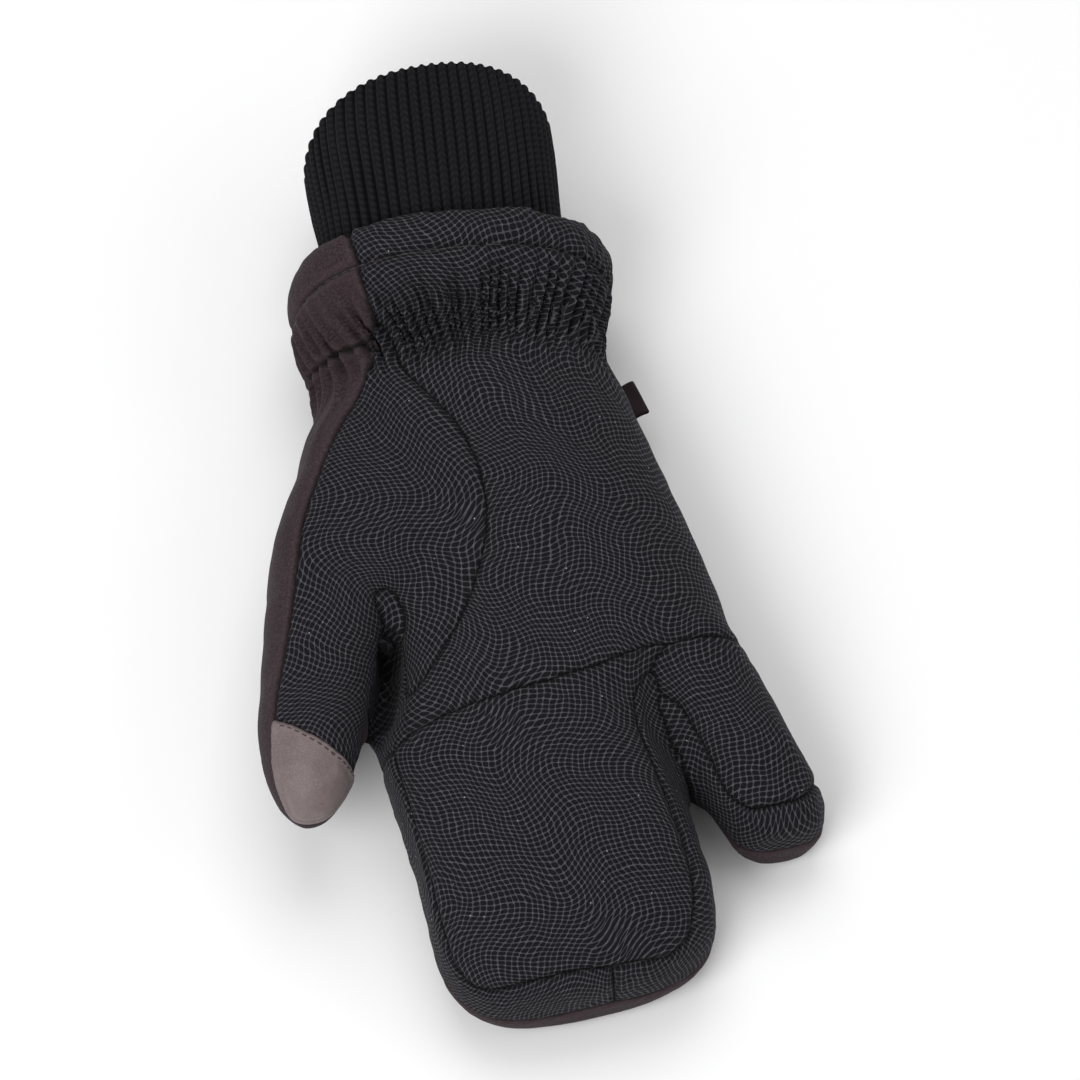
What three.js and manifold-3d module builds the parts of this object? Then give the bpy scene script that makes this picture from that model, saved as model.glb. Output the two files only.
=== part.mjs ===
// Winter mitten glove, laid palm up: a padded shell with a thumb, a mitten pocket for three fingers and
// a separate little finger, a gathered gauntlet, and a rib-knit cuff that comes out of it.
// Millimetres. +Y runs from the fingers to the cuff, +Z out of the palm and -X to the thumb, and the
// back of the hand lies on Z = 0.
// The shell is lofted through tables of sections, hollowed by the same sections less the padding, and
// cut along its seams into the panels that it is sewn from.
import * as THREE from "three";
import { mergeVertices } from "three/addons/utils/BufferGeometryUtils.js";
import Module from "manifold-3d";

const wasm = await Module();
wasm.setup();

// Driving dimensions
const HAND_LENGTH = 198; // from the wrist elastic to the mitten's tip
const PALM_WIDTH = 104;
const PALM_THICKNESS = 50;
const THUMB_LENGTH = 124; // from its root in the heel of the hand to its tip
const THUMB_WIDTH = 34;
const MOUND_LENGTH = 67; // the swelling at the thumb's root
const FINGER_LENGTH = 71; // the little finger, from its root inside the hand to its tip
const FINGER_WIDTH = 32;
const GAUNTLET_LENGTH = 29; // from the wrist elastic to the hem
const GAUNTLET_WIDTH = 92.5;
const GAUNTLET_THICKNESS = 63;
const CUFF_LENGTH = 67; // the knit tube, most of it outside the gauntlet
const CUFF_WIDTH = 71;
const CUFF_THICKNESS = 58.5;
const PADDING = 4; // shell, insulation and lining together
const GAUNTLET_WALL = 3;
const KNIT_WALL = 3;
const SEAM_GAP = 0.3;

// Making up
const PRESSED_FLAT = 3; // how deep the back of the hand is pressed flat where it lies
const BACK_SEAM_HEIGHT = 14; // side seam between the palm's panels and the back
const THUMB_SEAM_HEIGHT = 33; // seam along the thumb's inner side
const SIDE_WALL_HEIGHT = 36; // top of the side wall between the thumb's root and the mitten
const GATHER_FOLDS = 36;
const GATHER_DEPTH = 1.7;
const STITCH_DEPTH = 0.9;
const KNIT_RIBS = 50;
const RIB_DEPTH = 0.65;
const RIM_SLANT = 14; // the cuff's rim stands this much further out over the palm than at its sides
const HEM_SLANT = 5;
const GUSSET_JOIN = 0.05; // where the two gusset strips meet at the tip, as a share of the palm's width
const LABEL = { middle: -17, length: 10.5, out: 4.5, thick: 1.8, turn: 15 };
const INNER_SIDES = 20; // the hollows are smooth, and need fewer sides than the outside
const FAR = 400; // past the glove in any direction

const THUMB_ROOT = { x: -0.24 * PALM_WIDTH, y: -0.055 * HAND_LENGTH };
const FINGER_ROOT = { x: 0.41 * PALM_WIDTH, y: -0.455 * HAND_LENGTH };
const PANEL_MARGIN = { thumbSide: 2.6, fingerSide: 6.4, tip: 4.2 }; // between mitten's sides and palm panel

// Rows of numbers under one line of column names
function table(columns, ...rows) {
  const names = columns.split(" ");
  return rows.map((row) => Object.fromEntries(names.map((name, i) => [name, row[i]])));
}

// Section tables. Along and centre are shares of a length, half of a width, and top, mid and low of a
// thickness. Turn is in degrees about +Z, square is the superellipse's exponent and gather a share of
// the gather's depth.
const HAND_ROWS = table(
  "along centre half low mid top turn square gather",
  [0.0, -0.007, 0.394, 0, 0.46, 1.04, -5.5, 2.2, 1],
  [0.03, -0.001, 0.407, 0, 0.45, 1.02, -5, 2.2, 0.55],
  [0.08, 0.015, 0.425, 0, 0.44, 1.0, -4, 2.3, 0],
  [0.21, 0.04, 0.454, 0, 0.42, 1.0, -3, 2.4, 0],
  [0.36, 0.075, 0.474, 0, 0.4, 1.0, -2, 2.5, 0],
  [0.48, 0.083, 0.494, 0, 0.4, 1.0, 0, 2.6, 0],
  [0.52, 0.044, 0.484, 0, 0.4, 0.99, 1, 2.7, 0],
  [0.56, -0.031, 0.407, 0, 0.4, 0.97, 2, 2.8, 0],
  [0.6, -0.06, 0.38, 0, 0.4, 0.95, 3, 2.9, 0],
  [0.65, -0.053, 0.374, 0, 0.39, 0.93, 4, 3, 0],
  [0.76, -0.026, 0.383, 0, 0.36, 0.88, 4, 3, 0],
  [0.86, -0.012, 0.395, 0, 0.34, 0.8, 4, 3, 0],
  [0.92, -0.009, 0.382, 0, 0.33, 0.74, 3, 3, 0],
  [0.962, -0.006, 0.342, 0.02, 0.33, 0.69, 2, 2.9, 0],
  [0.987, -0.008, 0.278, 0.06, 0.33, 0.63, 2, 2.7, 0],
  [1.0, -0.012, 0.18, 0.15, 0.33, 0.52, 2, 2.4, 0],
);
const GAUNTLET_ROWS = table(
  "along centre half low mid top turn gather stitch",
  [-0.05, -0.006, 0.42, 0.03, 0.365, 0.79, -5.5, 1, 0],
  [0.0, -0.006, 0.443, 0, 0.365, 0.825, -5.5, 1, 0],
  [0.28, 0.0, 0.474, 0, 0.4, 0.92, -5.5, 0.6, 0],
  [0.5, 0.014, 0.493, 0, 0.43, 0.985, -5, 0.1, 0],
  [0.57, 0.019, 0.497, 0, 0.43, 0.99, -5, 0, 1],
  [0.65, 0.023, 0.5, 0, 0.43, 1.0, -5, 0, 0],
  [0.94, 0.036, 0.5, 0, 0.43, 1.0, -5, 0, 0],
  [1.0, 0.038, 0.49, 0, 0.43, 0.985, -5, 0, 0],
);
// The thumb leaves the heel of the hand. Centre and level are shares of its length and of the palm's
// thickness. Seam is where the back panel's edge runs over its top, from -1 at its outer side to 1.
const THUMB_ROWS = table(
  "along centre half level thick turn square seam",
  [0.0, 0.03, 0.6, 0.5, 1.1, -10, 2.6, -0.4],
  [0.1, 0.006, 0.68, 0.5, 1.34, -14, 3.2, -0.6],
  [0.21, -0.048, 0.7, 0.52, 1.4, -17, 3.3, -0.66],
  [0.33, -0.132, 0.65, 0.56, 1.3, -19, 3, -0.62],
  [0.44, -0.196, 0.56, 0.6, 1.18, -20, 2.5, -0.55],
  [0.56, -0.244, 0.508, 0.64, 1.06, -19, 2.2, -0.54],
  [0.69, -0.287, 0.478, 0.67, 0.99, -19, 2.15, -0.62],
  [0.8, -0.326, 0.44, 0.68, 0.93, -19, 2.15, -0.7],
  [0.89, -0.349, 0.37, 0.68, 0.84, -18, 2.15, -0.78],
  [0.95, -0.362, 0.27, 0.68, 0.68, -17, 2.15, -0.85],
  [0.985, -0.369, 0.165, 0.68, 0.48, -16, 2.15, -0.9],
  [1.0, -0.372, 0.07, 0.68, 0.24, -16, 2.15, -0.9],
);
// The mound between the thumb's root and the palm, which fills the valley between the two
const MOUND_ROWS = table(
  "along centre half level thick turn",
  [0.0, -0.25, 0.13, 0.44, 0.8, -8],
  [0.25, -0.245, 0.235, 0.48, 1.0, -10],
  [0.52, -0.27, 0.25, 0.5, 1.01, -12],
  [0.73, -0.315, 0.215, 0.53, 0.95, -14],
  [0.89, -0.35, 0.145, 0.56, 0.84, -15],
  [1.0, -0.37, 0.07, 0.58, 0.64, -15],
);
const FINGER_ROWS = table(
  "along centre half low mid top turn",
  [0.0, 0.02, 0.42, 0.1, 0.4, 0.83, 6],
  [0.17, 0.052, 0.475, 0, 0.36, 0.87, 8],
  [0.31, 0.09, 0.49, 0, 0.34, 0.83, 9],
  [0.52, 0.154, 0.5, 0, 0.33, 0.76, 8],
  [0.7, 0.212, 0.5, 0, 0.32, 0.7, 5],
  [0.84, 0.254, 0.475, 0, 0.31, 0.65, 2],
  [0.93, 0.268, 0.43, 0, 0.3, 0.61, 0],
  [0.975, 0.27, 0.36, 0.03, 0.29, 0.55, 0],
  [1.0, 0.27, 0.23, 0.1, 0.28, 0.45, 0],
);
const CUFF_ROWS = table(
  "along centre half low mid top turn slant",
  [0.0, -0.006, 0.505, 0.085, 0.39, 0.8, -5.5, 0],
  [0.4, 0.036, 0.482, 0.065, 0.44, 0.965, -3, 0.25],
  [0.64, 0.053, 0.489, 0.03, 0.44, 1.0, -1, 0.55],
  [0.85, 0.062, 0.505, 0.004, 0.44, 1.01, 0, 0.85],
  [0.97, 0.068, 0.506, 0.004, 0.44, 1.0, 0, 1],
  [1.0, 0.069, 0.49, 0.02, 0.44, 0.98, 0, 1],
);
// Seams drawn from above. On the palm, x and y are shares of its width and of the hand's length from
// the middle of the elastic. On the thumb and the finger they are shares of its own width and length
// from its root, and y runs to its tip.
const THUMB_BALL_SEAM = table(
  "x y",
  [-0.2, 0.02],
  [-0.165, -0.046],
  [-0.05, -0.145],
  [-0.022, -0.26],
  [-0.075, -0.36],
  [-0.2, -0.465],
  [-0.33, -0.525],
);
const FINGER_BASE_FOLD = table(
  "x y",
  [-0.6, -0.61],
  [-0.2, -0.572],
  [0.12, -0.553],
  [0.3, -0.533],
  [0.38, -0.524],
  [0.8, -0.515],
);
const GAUNTLET_SIDE_SEAM = table("x y", [-0.25, 0.3], [-0.232, 0.1], [-0.222, 0.0], [-0.29, -0.055]);
const PATCH_EDGE = table("x y", [-0.95, 0.975], [-0.89, 0.902], [-1.22, 0.827], [-1.53, 0.758]);
const THUMB_PARTING = table("x y", [-0.8, 1.19], [-0.69, 0.84], [-0.61, 0.71], [-0.49, 0.583], [-0.4, 0.49]);
const CROTCH_GUSSET = table(
  "x y",
  [-0.43, 0.49],
  [-0.38, 0.551],
  [-0.367, 0.602],
  [-0.245, 0.598],
  [-0.19, 0.559],
  [-0.214, 0.515],
  [-0.3, 0.492],
);
const FINGER_ROOT_SEAM = table(
  "x y",
  [-0.276, 0.404],
  [-0.267, 0.251],
  [-0.108, 0.208],
  [0.227, 0.19],
  [1.27, 0.182],
  [2.57, 1.24],
);
const FINGER_PARTING = table("x y", [0.62, 1.24], [-0.032, 0.865], [-0.16, 0.683], [-0.237, 0.5]);
const FINGER_PANEL_SEAM = table(
  "x y",
  [0.943, 0.842],
  [0.864, 0.881],
  [0.618, 0.909],
  [0.341, 0.906],
  [0.163, 0.823],
  [0.055, 0.627],
  [-0.048, 0.461],
  [-0.21, 0.321],
);

// A row of a table at any place between its own, with every column on one smooth curve
function rowAt(rows, along) {
  let i = 0;
  while (i < rows.length - 2 && along > rows[i + 1].along) i++;
  const [a, b] = [rows[i], rows[i + 1]];
  const [before, after] = [rows[i - 1] ?? a, rows[i + 2] ?? b];
  const span = b.along - a.along;
  const t = (along - a.along) / span;
  const row = {};
  for (const column of Object.keys(a)) {
    const startSlope = (span * (b[column] - before[column])) / (b.along - before.along);
    const endSlope = (span * (after[column] - a[column])) / (after.along - a.along);
    row[column] =
      a[column] * (1 + 2 * t) * (1 - t) ** 2 +
      startSlope * t * (1 - t) ** 2 +
      b[column] * t ** 2 * (3 - 2 * t) +
      endSlope * t ** 2 * (t - 1);
  }
  row.along = along;
  return row;
}

// A row of each tube in millimetres
function handPlace(row) {
  return {
    ...row,
    x: row.centre * PALM_WIDTH,
    y: -row.along * HAND_LENGTH,
    half: row.half * PALM_WIDTH,
    low: row.low * PALM_THICKNESS - PRESSED_FLAT,
    mid: row.mid * PALM_THICKNESS,
    top: row.top * PALM_THICKNESS,
    ripple: row.gather * GATHER_DEPTH,
  };
}

function gauntletPlace(row) {
  const groove = row.stitch * STITCH_DEPTH;
  return {
    ...row,
    x: row.centre * GAUNTLET_WIDTH,
    y: row.along * GAUNTLET_LENGTH,
    half: row.half * GAUNTLET_WIDTH - groove,
    low: row.low * GAUNTLET_THICKNESS - PRESSED_FLAT,
    mid: row.mid * GAUNTLET_THICKNESS,
    top: row.top * GAUNTLET_THICKNESS - groove,
    square: 2.2,
    ripple: row.gather * GATHER_DEPTH,
    slant: row.along * HEM_SLANT,
  };
}

function thumbPlace(row) {
  const mid = row.level * PALM_THICKNESS;
  const rise = (row.thick * THUMB_WIDTH) / 2;
  return {
    ...row,
    x: THUMB_ROOT.x + row.centre * THUMB_LENGTH,
    y: THUMB_ROOT.y - row.along * THUMB_LENGTH,
    half: row.half * THUMB_WIDTH,
    low: mid - rise,
    mid,
    top: mid + rise,
    ripple: 0,
  };
}

function moundPlace(row) {
  const mid = row.level * PALM_THICKNESS;
  const rise = (row.thick * PALM_THICKNESS) / 2;
  return {
    ...row,
    x: row.centre * PALM_WIDTH,
    y: -0.03 * HAND_LENGTH - row.along * MOUND_LENGTH,
    half: row.half * PALM_WIDTH,
    low: mid - rise,
    mid,
    top: mid + rise,
    square: 2.6,
  };
}

function fingerPlace(row) {
  return {
    ...row,
    x: FINGER_ROOT.x + row.centre * FINGER_LENGTH,
    y: FINGER_ROOT.y - row.along * FINGER_LENGTH,
    half: row.half * FINGER_WIDTH,
    low: row.low * PALM_THICKNESS - PRESSED_FLAT / 2,
    mid: row.mid * PALM_THICKNESS,
    top: row.top * PALM_THICKNESS,
    square: 2.6,
    ripple: 0,
  };
}

function cuffPlace(row) {
  return {
    ...row,
    x: row.centre * CUFF_WIDTH,
    y: row.along * CUFF_LENGTH,
    half: row.half * CUFF_WIDTH,
    low: row.low * CUFF_THICKNESS,
    mid: row.mid * CUFF_THICKNESS,
    top: row.top * CUFF_THICKNESS,
    square: 2.15,
    ripple: RIB_DEPTH,
    slant: row.slant * RIM_SLANT,
  };
}

// One closed section: a superellipse, taken in by inset, rippled by its folds and pressed flat on the floor
function ring(place, inset, count, ripple = 0) {
  const points = [];
  const turn = THREE.MathUtils.degToRad(place.turn);
  const power = 2 / place.square;
  for (let i = 0; i < count; i++) {
    const angle = (2 * Math.PI * i) / count;
    const [c, s] = [Math.cos(angle), Math.sin(angle)];
    const reach = s > 0 ? place.top - place.mid : place.mid - place.low;
    const wave = i % 2 ? -ripple : ripple;
    const out = Math.sign(c) * Math.abs(c) ** power * (place.half - inset) + wave * c;
    const up = Math.sign(s) * Math.abs(s) ** power * (reach - inset) + wave * s;
    points.push(
      new THREE.Vector3(
        place.x + out * Math.cos(turn),
        place.y + out * Math.sin(turn) + ((place.slant ?? 0) * up) / reach,
        Math.max(place.mid + up, inset),
      ),
    );
  }
  return points;
}

// A closed solid from position numbers and triangles
function solidOf(points, triangles) {
  const positions = new Float32Array(points.flatMap((p) => [p.x, p.y, p.z]));
  const geometry = new THREE.BufferGeometry()
    .setAttribute("position", new THREE.BufferAttribute(positions, 3))
    .setIndex(triangles);
  const merged = mergeVertices(geometry, 1e-4);
  return new wasm.Manifold(
    new wasm.Mesh({
      numProp: 3,
      vertProperties: merged.attributes.position.array,
      triVerts: new Uint32Array(merged.index.array),
    }),
  );
}

// A solid through rings, closed by a fan at each end. Rings run towards -Y, and a ring may have half
// the points of the one before or after it.
function loft(rings) {
  const points = rings.flat();
  const triangles = [];
  let start = 0;
  for (let r = 0; r < rings.length - 1; r++) {
    const [count, next] = [rings[r].length, rings[r + 1].length];
    const finer = Math.max(count, next);
    const upper = (i) => start + Math.floor(((i % finer) * count) / finer);
    const lower = (i) => start + count + Math.floor(((i % finer) * next) / finer);
    for (let i = 0; i < finer; i++) {
      const [a, b, c, d] = [upper(i), upper(i + 1), lower(i), lower(i + 1)];
      if (a !== b) triangles.push(a, b, c);
      if (c !== d) triangles.push(b, d, c);
    }
    start += count;
  }
  const ends = [
    { at: 0, count: rings[0].length, hub: points.length, flip: true },
    { at: start, count: rings.at(-1).length, hub: points.length + 1, flip: false },
  ];
  for (const { at, count, hub, flip } of ends) {
    const middle = new THREE.Vector3();
    for (let i = 0; i < count; i++) middle.addScaledVector(points[at + i], 1 / count);
    points.push(middle);
    for (let i = 0; i < count; i++) {
      const [a, b] = [at + i, at + ((i + 1) % count)];
      triangles.push(...(flip ? [hub, b, a] : [hub, a, b]));
    }
  }
  return solidOf(points, triangles);
}

// A tube's solid. Inset shortens its closed end too, by dropping the sections that near to the tip.
function tube(rows, place, { inset = 0, count, rippled = false }) {
  const tip = place(rows.at(-1)).y;
  const rings = rows
    .map(place)
    .filter((p) => inset <= 0 || p.y - tip >= inset)
    .map((p) => (rippled && p.gather > 0 ? ring(p, inset, 2 * count, p.ripple) : ring(p, inset, count)));
  if (inset > 0) {
    const last = rings.at(-1);
    const hub = last[0].clone().add(last[count / 2]).multiplyScalar(0.5);
    rings.push(last.map((p) => hub.clone().lerp(p, 0.8).setY(tip + inset)));
  }
  return loft(rings);
}

// Moves each corner of a closed outline outwards, so that both its sides move by the distance
function spread(outline, distance) {
  const n = outline.length;
  return outline.map((p, i) => {
    const before = p.clone().sub(outline[(i + n - 1) % n]).normalize();
    const after = outline[(i + 1) % n].clone().sub(p).normalize();
    const out = new THREE.Vector2(before.y + after.y, -before.x - after.x).normalize();
    return p.clone().addScaledVector(out, distance / Math.max(0.5, out.x * before.y - out.y * before.x));
  });
}

// A solid from one of three's own geometries
function solidFrom(geometry) {
  geometry.deleteAttribute("normal").deleteAttribute("uv");
  const merged = mergeVertices(geometry, 1e-4);
  const points = [];
  for (let i = 0; i < merged.attributes.position.count; i++)
    points.push(new THREE.Vector3().fromBufferAttribute(merged.attributes.position, i));
  return solidOf(points, [...merged.index.array]);
}

// A region straight up and down inside an outline seen from above, drawn anticlockwise
function prism(outline, low, high) {
  return (grow) => {
    const shape = new THREE.Shape(spread(outline, grow));
    const geometry = new THREE.ExtrudeGeometry(shape, { depth: high - low + 2 * grow, bevelEnabled: false });
    return solidFrom(geometry.translate(0, 0, low - grow));
  };
}

const join = (...regions) => (grow) => regions.map((r) => r(grow)).reduce((a, b) => a.add(b));
const meet = (...regions) => (grow) => regions.map((r) => r(grow)).reduce((a, b) => a.intersect(b));
const corner = (x, y) => new THREE.Vector2(x, y);
const onPalm = ({ x, y }) => corner(x * PALM_WIDTH, y * HAND_LENGTH);
const onThumb = ({ x, y }) => corner(THUMB_ROOT.x + x * THUMB_WIDTH, THUMB_ROOT.y - y * THUMB_LENGTH);
const onFinger = ({ x, y }) => corner(FINGER_ROOT.x + x * FINGER_WIDTH, FINGER_ROOT.y - y * FINGER_LENGTH);
const edge = (place, share) => {
  const turn = THREE.MathUtils.degToRad(place.turn);
  return corner(place.x + share * Math.cos(turn), place.y + share * Math.sin(turn));
};
const curve = (points, steps) => new THREE.SplineCurve(points).getPoints(steps);
const largest = (solid) => solid.decompose().sort((a, b) => b.volume() - a.volume())[0];

// The whole shell, before it is cut into panels
const handOuter = tube(HAND_ROWS, handPlace, { count: GATHER_FOLDS, rippled: true });
const gauntletRows = [...GAUNTLET_ROWS].reverse();
const gauntletOuter = loft(
  gauntletRows.map((row) => {
    const place = gauntletPlace(row);
    return row.gather > 0 ? ring(place, 0, 2 * GATHER_FOLDS, place.ripple) : ring(place, 0, GATHER_FOLDS);
  }),
);
const thumbOuter = (inset) => tube(THUMB_ROWS, thumbPlace, { inset, count: 20 });
const moundOuter = tube(MOUND_ROWS, moundPlace, { count: 20 });
const fingerOuter = tube(FINGER_ROWS, fingerPlace, { count: 24 });

const inside = { inset: PADDING, count: INNER_SIDES };
const handInner = tube(HAND_ROWS, handPlace, inside);
const thumbInner = tube(THUMB_ROWS, thumbPlace, { ...inside, count: INNER_SIDES / 2 });
const moundInner = tube(MOUND_ROWS, moundPlace, { ...inside, count: INNER_SIDES / 2 });
const fingerInner = tube(FINGER_ROWS, fingerPlace, { ...inside, count: INNER_SIDES / 2 });
const mouth = gauntletPlace(GAUNTLET_ROWS.at(-1));
const gauntletInner = loft([
  ring({ ...mouth, y: mouth.y + 2 * HEM_SLANT }, GAUNTLET_WALL, INNER_SIDES),
  ...gauntletRows
    .filter((row) => !row.stitch)
    .map((row) => ring(gauntletPlace(row), row.along > 0 ? GAUNTLET_WALL : PADDING, INNER_SIDES)),
]);

const hollows = [handInner, gauntletInner, thumbInner, moundInner, fingerInner];
const outer = handOuter.add(gauntletOuter).add(thumbOuter(0)).add(moundOuter).add(fingerOuter);
let rest = hollows.reduce((shell, hollow) => shell.subtract(hollow), outer);

// Cuts a region out of what is left of the shell, with a seam's gap round it
function take(region) {
  const panel = largest(rest.intersect(region(0)));
  rest = rest.subtract(region(SEAM_GAP));
  return panel;
}

// What lies on the cuff's side of a line right across, above and below a height, and past the elastic
const cuffSideOf = (left, right) => [
  corner(-FAR, left),
  corner(FAR, right),
  corner(FAR, FAR),
  corner(-FAR, FAR),
];
const everywhere = cuffSideOf(-FAR, -FAR);
const above = (height) => prism(everywhere, height, FAR);
const aboveBack = above(BACK_SEAM_HEIGHT);
const belowBack = prism(everywhere, -FAR, BACK_SEAM_HEIGHT);
const tilt = FAR * Math.tan(THREE.MathUtils.degToRad(GAUNTLET_ROWS[0].turn));
const gauntlet = prism(cuffSideOf(-tilt, tilt), -FAR, FAR);

// The seam between the palm's cloth and the brown side, down the gauntlet and along the thumb
const thumbSide = THUMB_ROWS.slice(1).map(thumbPlace).map((place) => edge(place, place.seam * place.half));
const brownSeam = [...GAUNTLET_SIDE_SEAM.map(onPalm), ...thumbSide];
const thumbEnd = brownSeam.at(-1);
const palmSideOfSeam = prism(
  [...brownSeam, corner(thumbEnd.x, -FAR), corner(FAR, -FAR), corner(FAR, FAR)],
  -FAR,
  FAR,
);
const brownSideOfSeam = prism(
  [corner(-FAR, FAR), corner(-FAR, -FAR), ...[...brownSeam].reverse()],
  BACK_SEAM_HEIGHT,
  FAR,
);

// The thumb where it stands free of the hand, and the top of it
const crotch = CROTCH_GUSSET.map(onThumb);
const crotchLine = crotch[0].y;
const thumbSideOfParting = prism(
  [...THUMB_PARTING.map(onThumb), corner(-FAR, crotchLine), corner(-FAR, -FAR)],
  -FAR,
  FAR,
);
const thumbFree = (grow) => thumbOuter(-0.5 - grow).intersect(thumbSideOfParting(grow));
const thumbTop = meet(thumbFree, palmSideOfSeam, above(THUMB_SEAM_HEIGHT));

// The ball of the thumb, and the palm down to the fold at the fingers' base. Past the thumb's crotch
// both stop at the top of the side wall.
const cuffSideOfCrotch = prism(cuffSideOf(crotchLine, crotchLine), -FAR, FAR);
const ballSeam = curve(THUMB_BALL_SEAM.map(onPalm), 16);
const ballOutline = [...[...ballSeam].reverse(), corner(-FAR, FAR), corner(-FAR, ballSeam.at(-1).y)];
const ball = join(
  meet(prism(ballOutline, BACK_SEAM_HEIGHT, FAR), palmSideOfSeam, cuffSideOfCrotch),
  meet(prism(ballOutline, SIDE_WALL_HEIGHT, FAR), palmSideOfSeam),
);
const palmOutline = [...curve(FINGER_BASE_FOLD.map(onPalm), 14), corner(FAR, FAR), corner(-FAR, FAR)];
const awayFromThumb = prism(cuffSideOf(crotchLine, -FAR), -FAR, FAR);
const palm = join(
  meet(prism(palmOutline, BACK_SEAM_HEIGHT, FAR), awayFromThumb),
  prism(palmOutline, SIDE_WALL_HEIGHT, FAR),
);

// The mitten's palm panel keeps its margins from the mitten's sides, and the two gusset strips round
// it meet at the tip
const mittenPlaces = HAND_ROWS.filter((row) => row.along > 0.5).map(handPlace);
const tipLine = PANEL_MARGIN.tip - HAND_LENGTH;
const mittenPanel = prism(
  [
    ...mittenPlaces.map((place) => edge(place, PANEL_MARGIN.thumbSide - place.half)),
    ...[...mittenPlaces].reverse().map((place) => edge(place, place.half - PANEL_MARGIN.fingerSide)),
    corner(FAR / 8, 0),
    corner(-FAR / 8, 0),
  ].map((p) => corner(p.x, Math.max(p.y, tipLine))),
  SIDE_WALL_HEIGHT / 2,
  FAR,
);
const joinAt = GUSSET_JOIN * PALM_WIDTH;
const thumbSideOfJoin = prism(
  [corner(-FAR, -FAR), corner(joinAt, -FAR), corner(joinAt, FAR), corner(-FAR, FAR)],
  -FAR,
  FAR,
);

// The little finger, past the seam at its root, and the top of it
const finger = prism([...FINGER_ROOT_SEAM, ...FINGER_PARTING].map(onFinger).reverse(), -FAR, FAR);
const fingerTopOutline = [...FINGER_PANEL_SEAM, { x: -0.36, y: 0 }, { x: 1.6, y: 0 }];
const fingerTop = meet(finger, prism(fingerTopOutline.map(onFinger).reverse(), BACK_SEAM_HEIGHT, FAR));

// The panels, in the order in which they are cut from the shell
const patch = prism([corner(-FAR, -FAR), ...PATCH_EDGE.map(onThumb)], -FAR, FAR);
const panels = {};
panels.thumb_crotch_gusset = take(prism(crotch, THUMB_SEAM_HEIGHT, FAR));
panels.thumb_tip_patch = take(meet(thumbTop, patch));
panels.thumb_palm_panel = take(join(thumbTop, ball));
panels.cuff_back_panel = take(join(meet(gauntlet, brownSideOfSeam), meet(gauntlet, belowBack)));
panels.thumb_back_panel = take(join(thumbFree, brownSideOfSeam));
panels.finger_palm_panel = take(fingerTop);
panels.finger_gusset = take(meet(finger, aboveBack));
panels.finger_back_panel = take(finger);
panels.palm_panel = take(palm);
panels.mitten_palm_panel = take(mittenPanel);
panels.hand_back_panel = take(belowBack);
panels.mitten_gusset_thumb_side = take(thumbSideOfJoin);
panels.mitten_gusset_finger_side = take(aboveBack);

// The knit cuff: a double layer of rib, its lower end sewn in under the elastic
const cuffPlaces = CUFF_ROWS.map(cuffPlace).reverse();
const [rim, root] = [cuffPlaces[0], cuffPlaces.at(-1)];
const cuffOuter = loft(cuffPlaces.map((place) => ring(place, 0, 2 * KNIT_RIBS, RIB_DEPTH)));
const cuffInner = loft(
  [{ ...rim, y: rim.y + KNIT_WALL }, ...cuffPlaces, { ...root, y: root.y - KNIT_WALL }].map((place) =>
    ring(place, KNIT_WALL, INNER_SIDES),
  ),
);
panels.knit_cuff = cuffOuter.subtract(cuffInner);

// The label: a folded ribbon sewn into the side seam on the little finger's side
const { middle: labelY, length: labelLength, out: labelOut, thick: labelThick } = LABEL;
const ribbon = new THREE.Shape();
ribbon.moveTo(-labelOut, -labelThick / 2);
ribbon.lineTo(labelOut - labelThick / 2, -labelThick / 2);
ribbon.absarc(labelOut - labelThick / 2, 0, labelThick / 2, -Math.PI / 2, Math.PI / 2, false);
ribbon.lineTo(-labelOut, labelThick / 2);
const ribbonGeometry = new THREE.ExtrudeGeometry(ribbon, {
  depth: labelLength,
  bevelEnabled: false,
  curveSegments: 6,
});
const labelPlace = handPlace(rowAt(HAND_ROWS, -labelY / HAND_LENGTH));
ribbonGeometry.rotateX(Math.PI / 2).translate(0, labelLength / 2, 0);
ribbonGeometry.rotateZ(THREE.MathUtils.degToRad(LABEL.turn));
ribbonGeometry.translate(labelPlace.x + labelPlace.half, labelY, BACK_SEAM_HEIGHT + labelThick);
const handWithGap = tube(HAND_ROWS, handPlace, { inset: -SEAM_GAP, count: GATHER_FOLDS, rippled: true });
panels.label_loop = largest(solidFrom(ribbonGeometry).subtract(handWithGap));

// Cloths, and the panels that are cut from each
const CLOTHS = {
  print: { color: 0x2e2d32, roughness: 0.82, metalness: 0 },
  brown: { color: 0x3e3438, roughness: 0.9, metalness: 0 },
  patch: { color: 0x7a6b6b, roughness: 0.7, metalness: 0 },
  knit: { color: 0x1a191c, roughness: 0.95, metalness: 0 },
  label: { color: 0x2b2225, roughness: 0.75, metalness: 0 },
};
const CUT_FROM = {
  thumb_tip_patch: "patch",
  cuff_back_panel: "brown",
  thumb_back_panel: "brown",
  finger_back_panel: "brown",
  hand_back_panel: "brown",
  knit_cuff: "knit",
  label_loop: "label",
};
const group = new THREE.Group();
for (const [name, solid] of Object.entries(panels)) {
  const { vertProperties, triVerts } = solid.getMesh();
  const geometry = new THREE.BufferGeometry()
    .setAttribute("position", new THREE.BufferAttribute(vertProperties, 3))
    .setIndex([...triVerts])
    .toNonIndexed();
  geometry.computeVertexNormals();
  const mesh = new THREE.Mesh(geometry, new THREE.MeshStandardMaterial(CLOTHS[CUT_FROM[name] ?? "print"]));
  mesh.name = name;
  group.add(mesh);
}

// Its middle goes over the origin, and what it lies on is Z = 0
const box = new THREE.Box3().setFromObject(group);
const middle = box.getCenter(new THREE.Vector3());
group.position.set(-middle.x, -middle.y, -box.min.z);
export default group;
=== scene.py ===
import math

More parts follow.
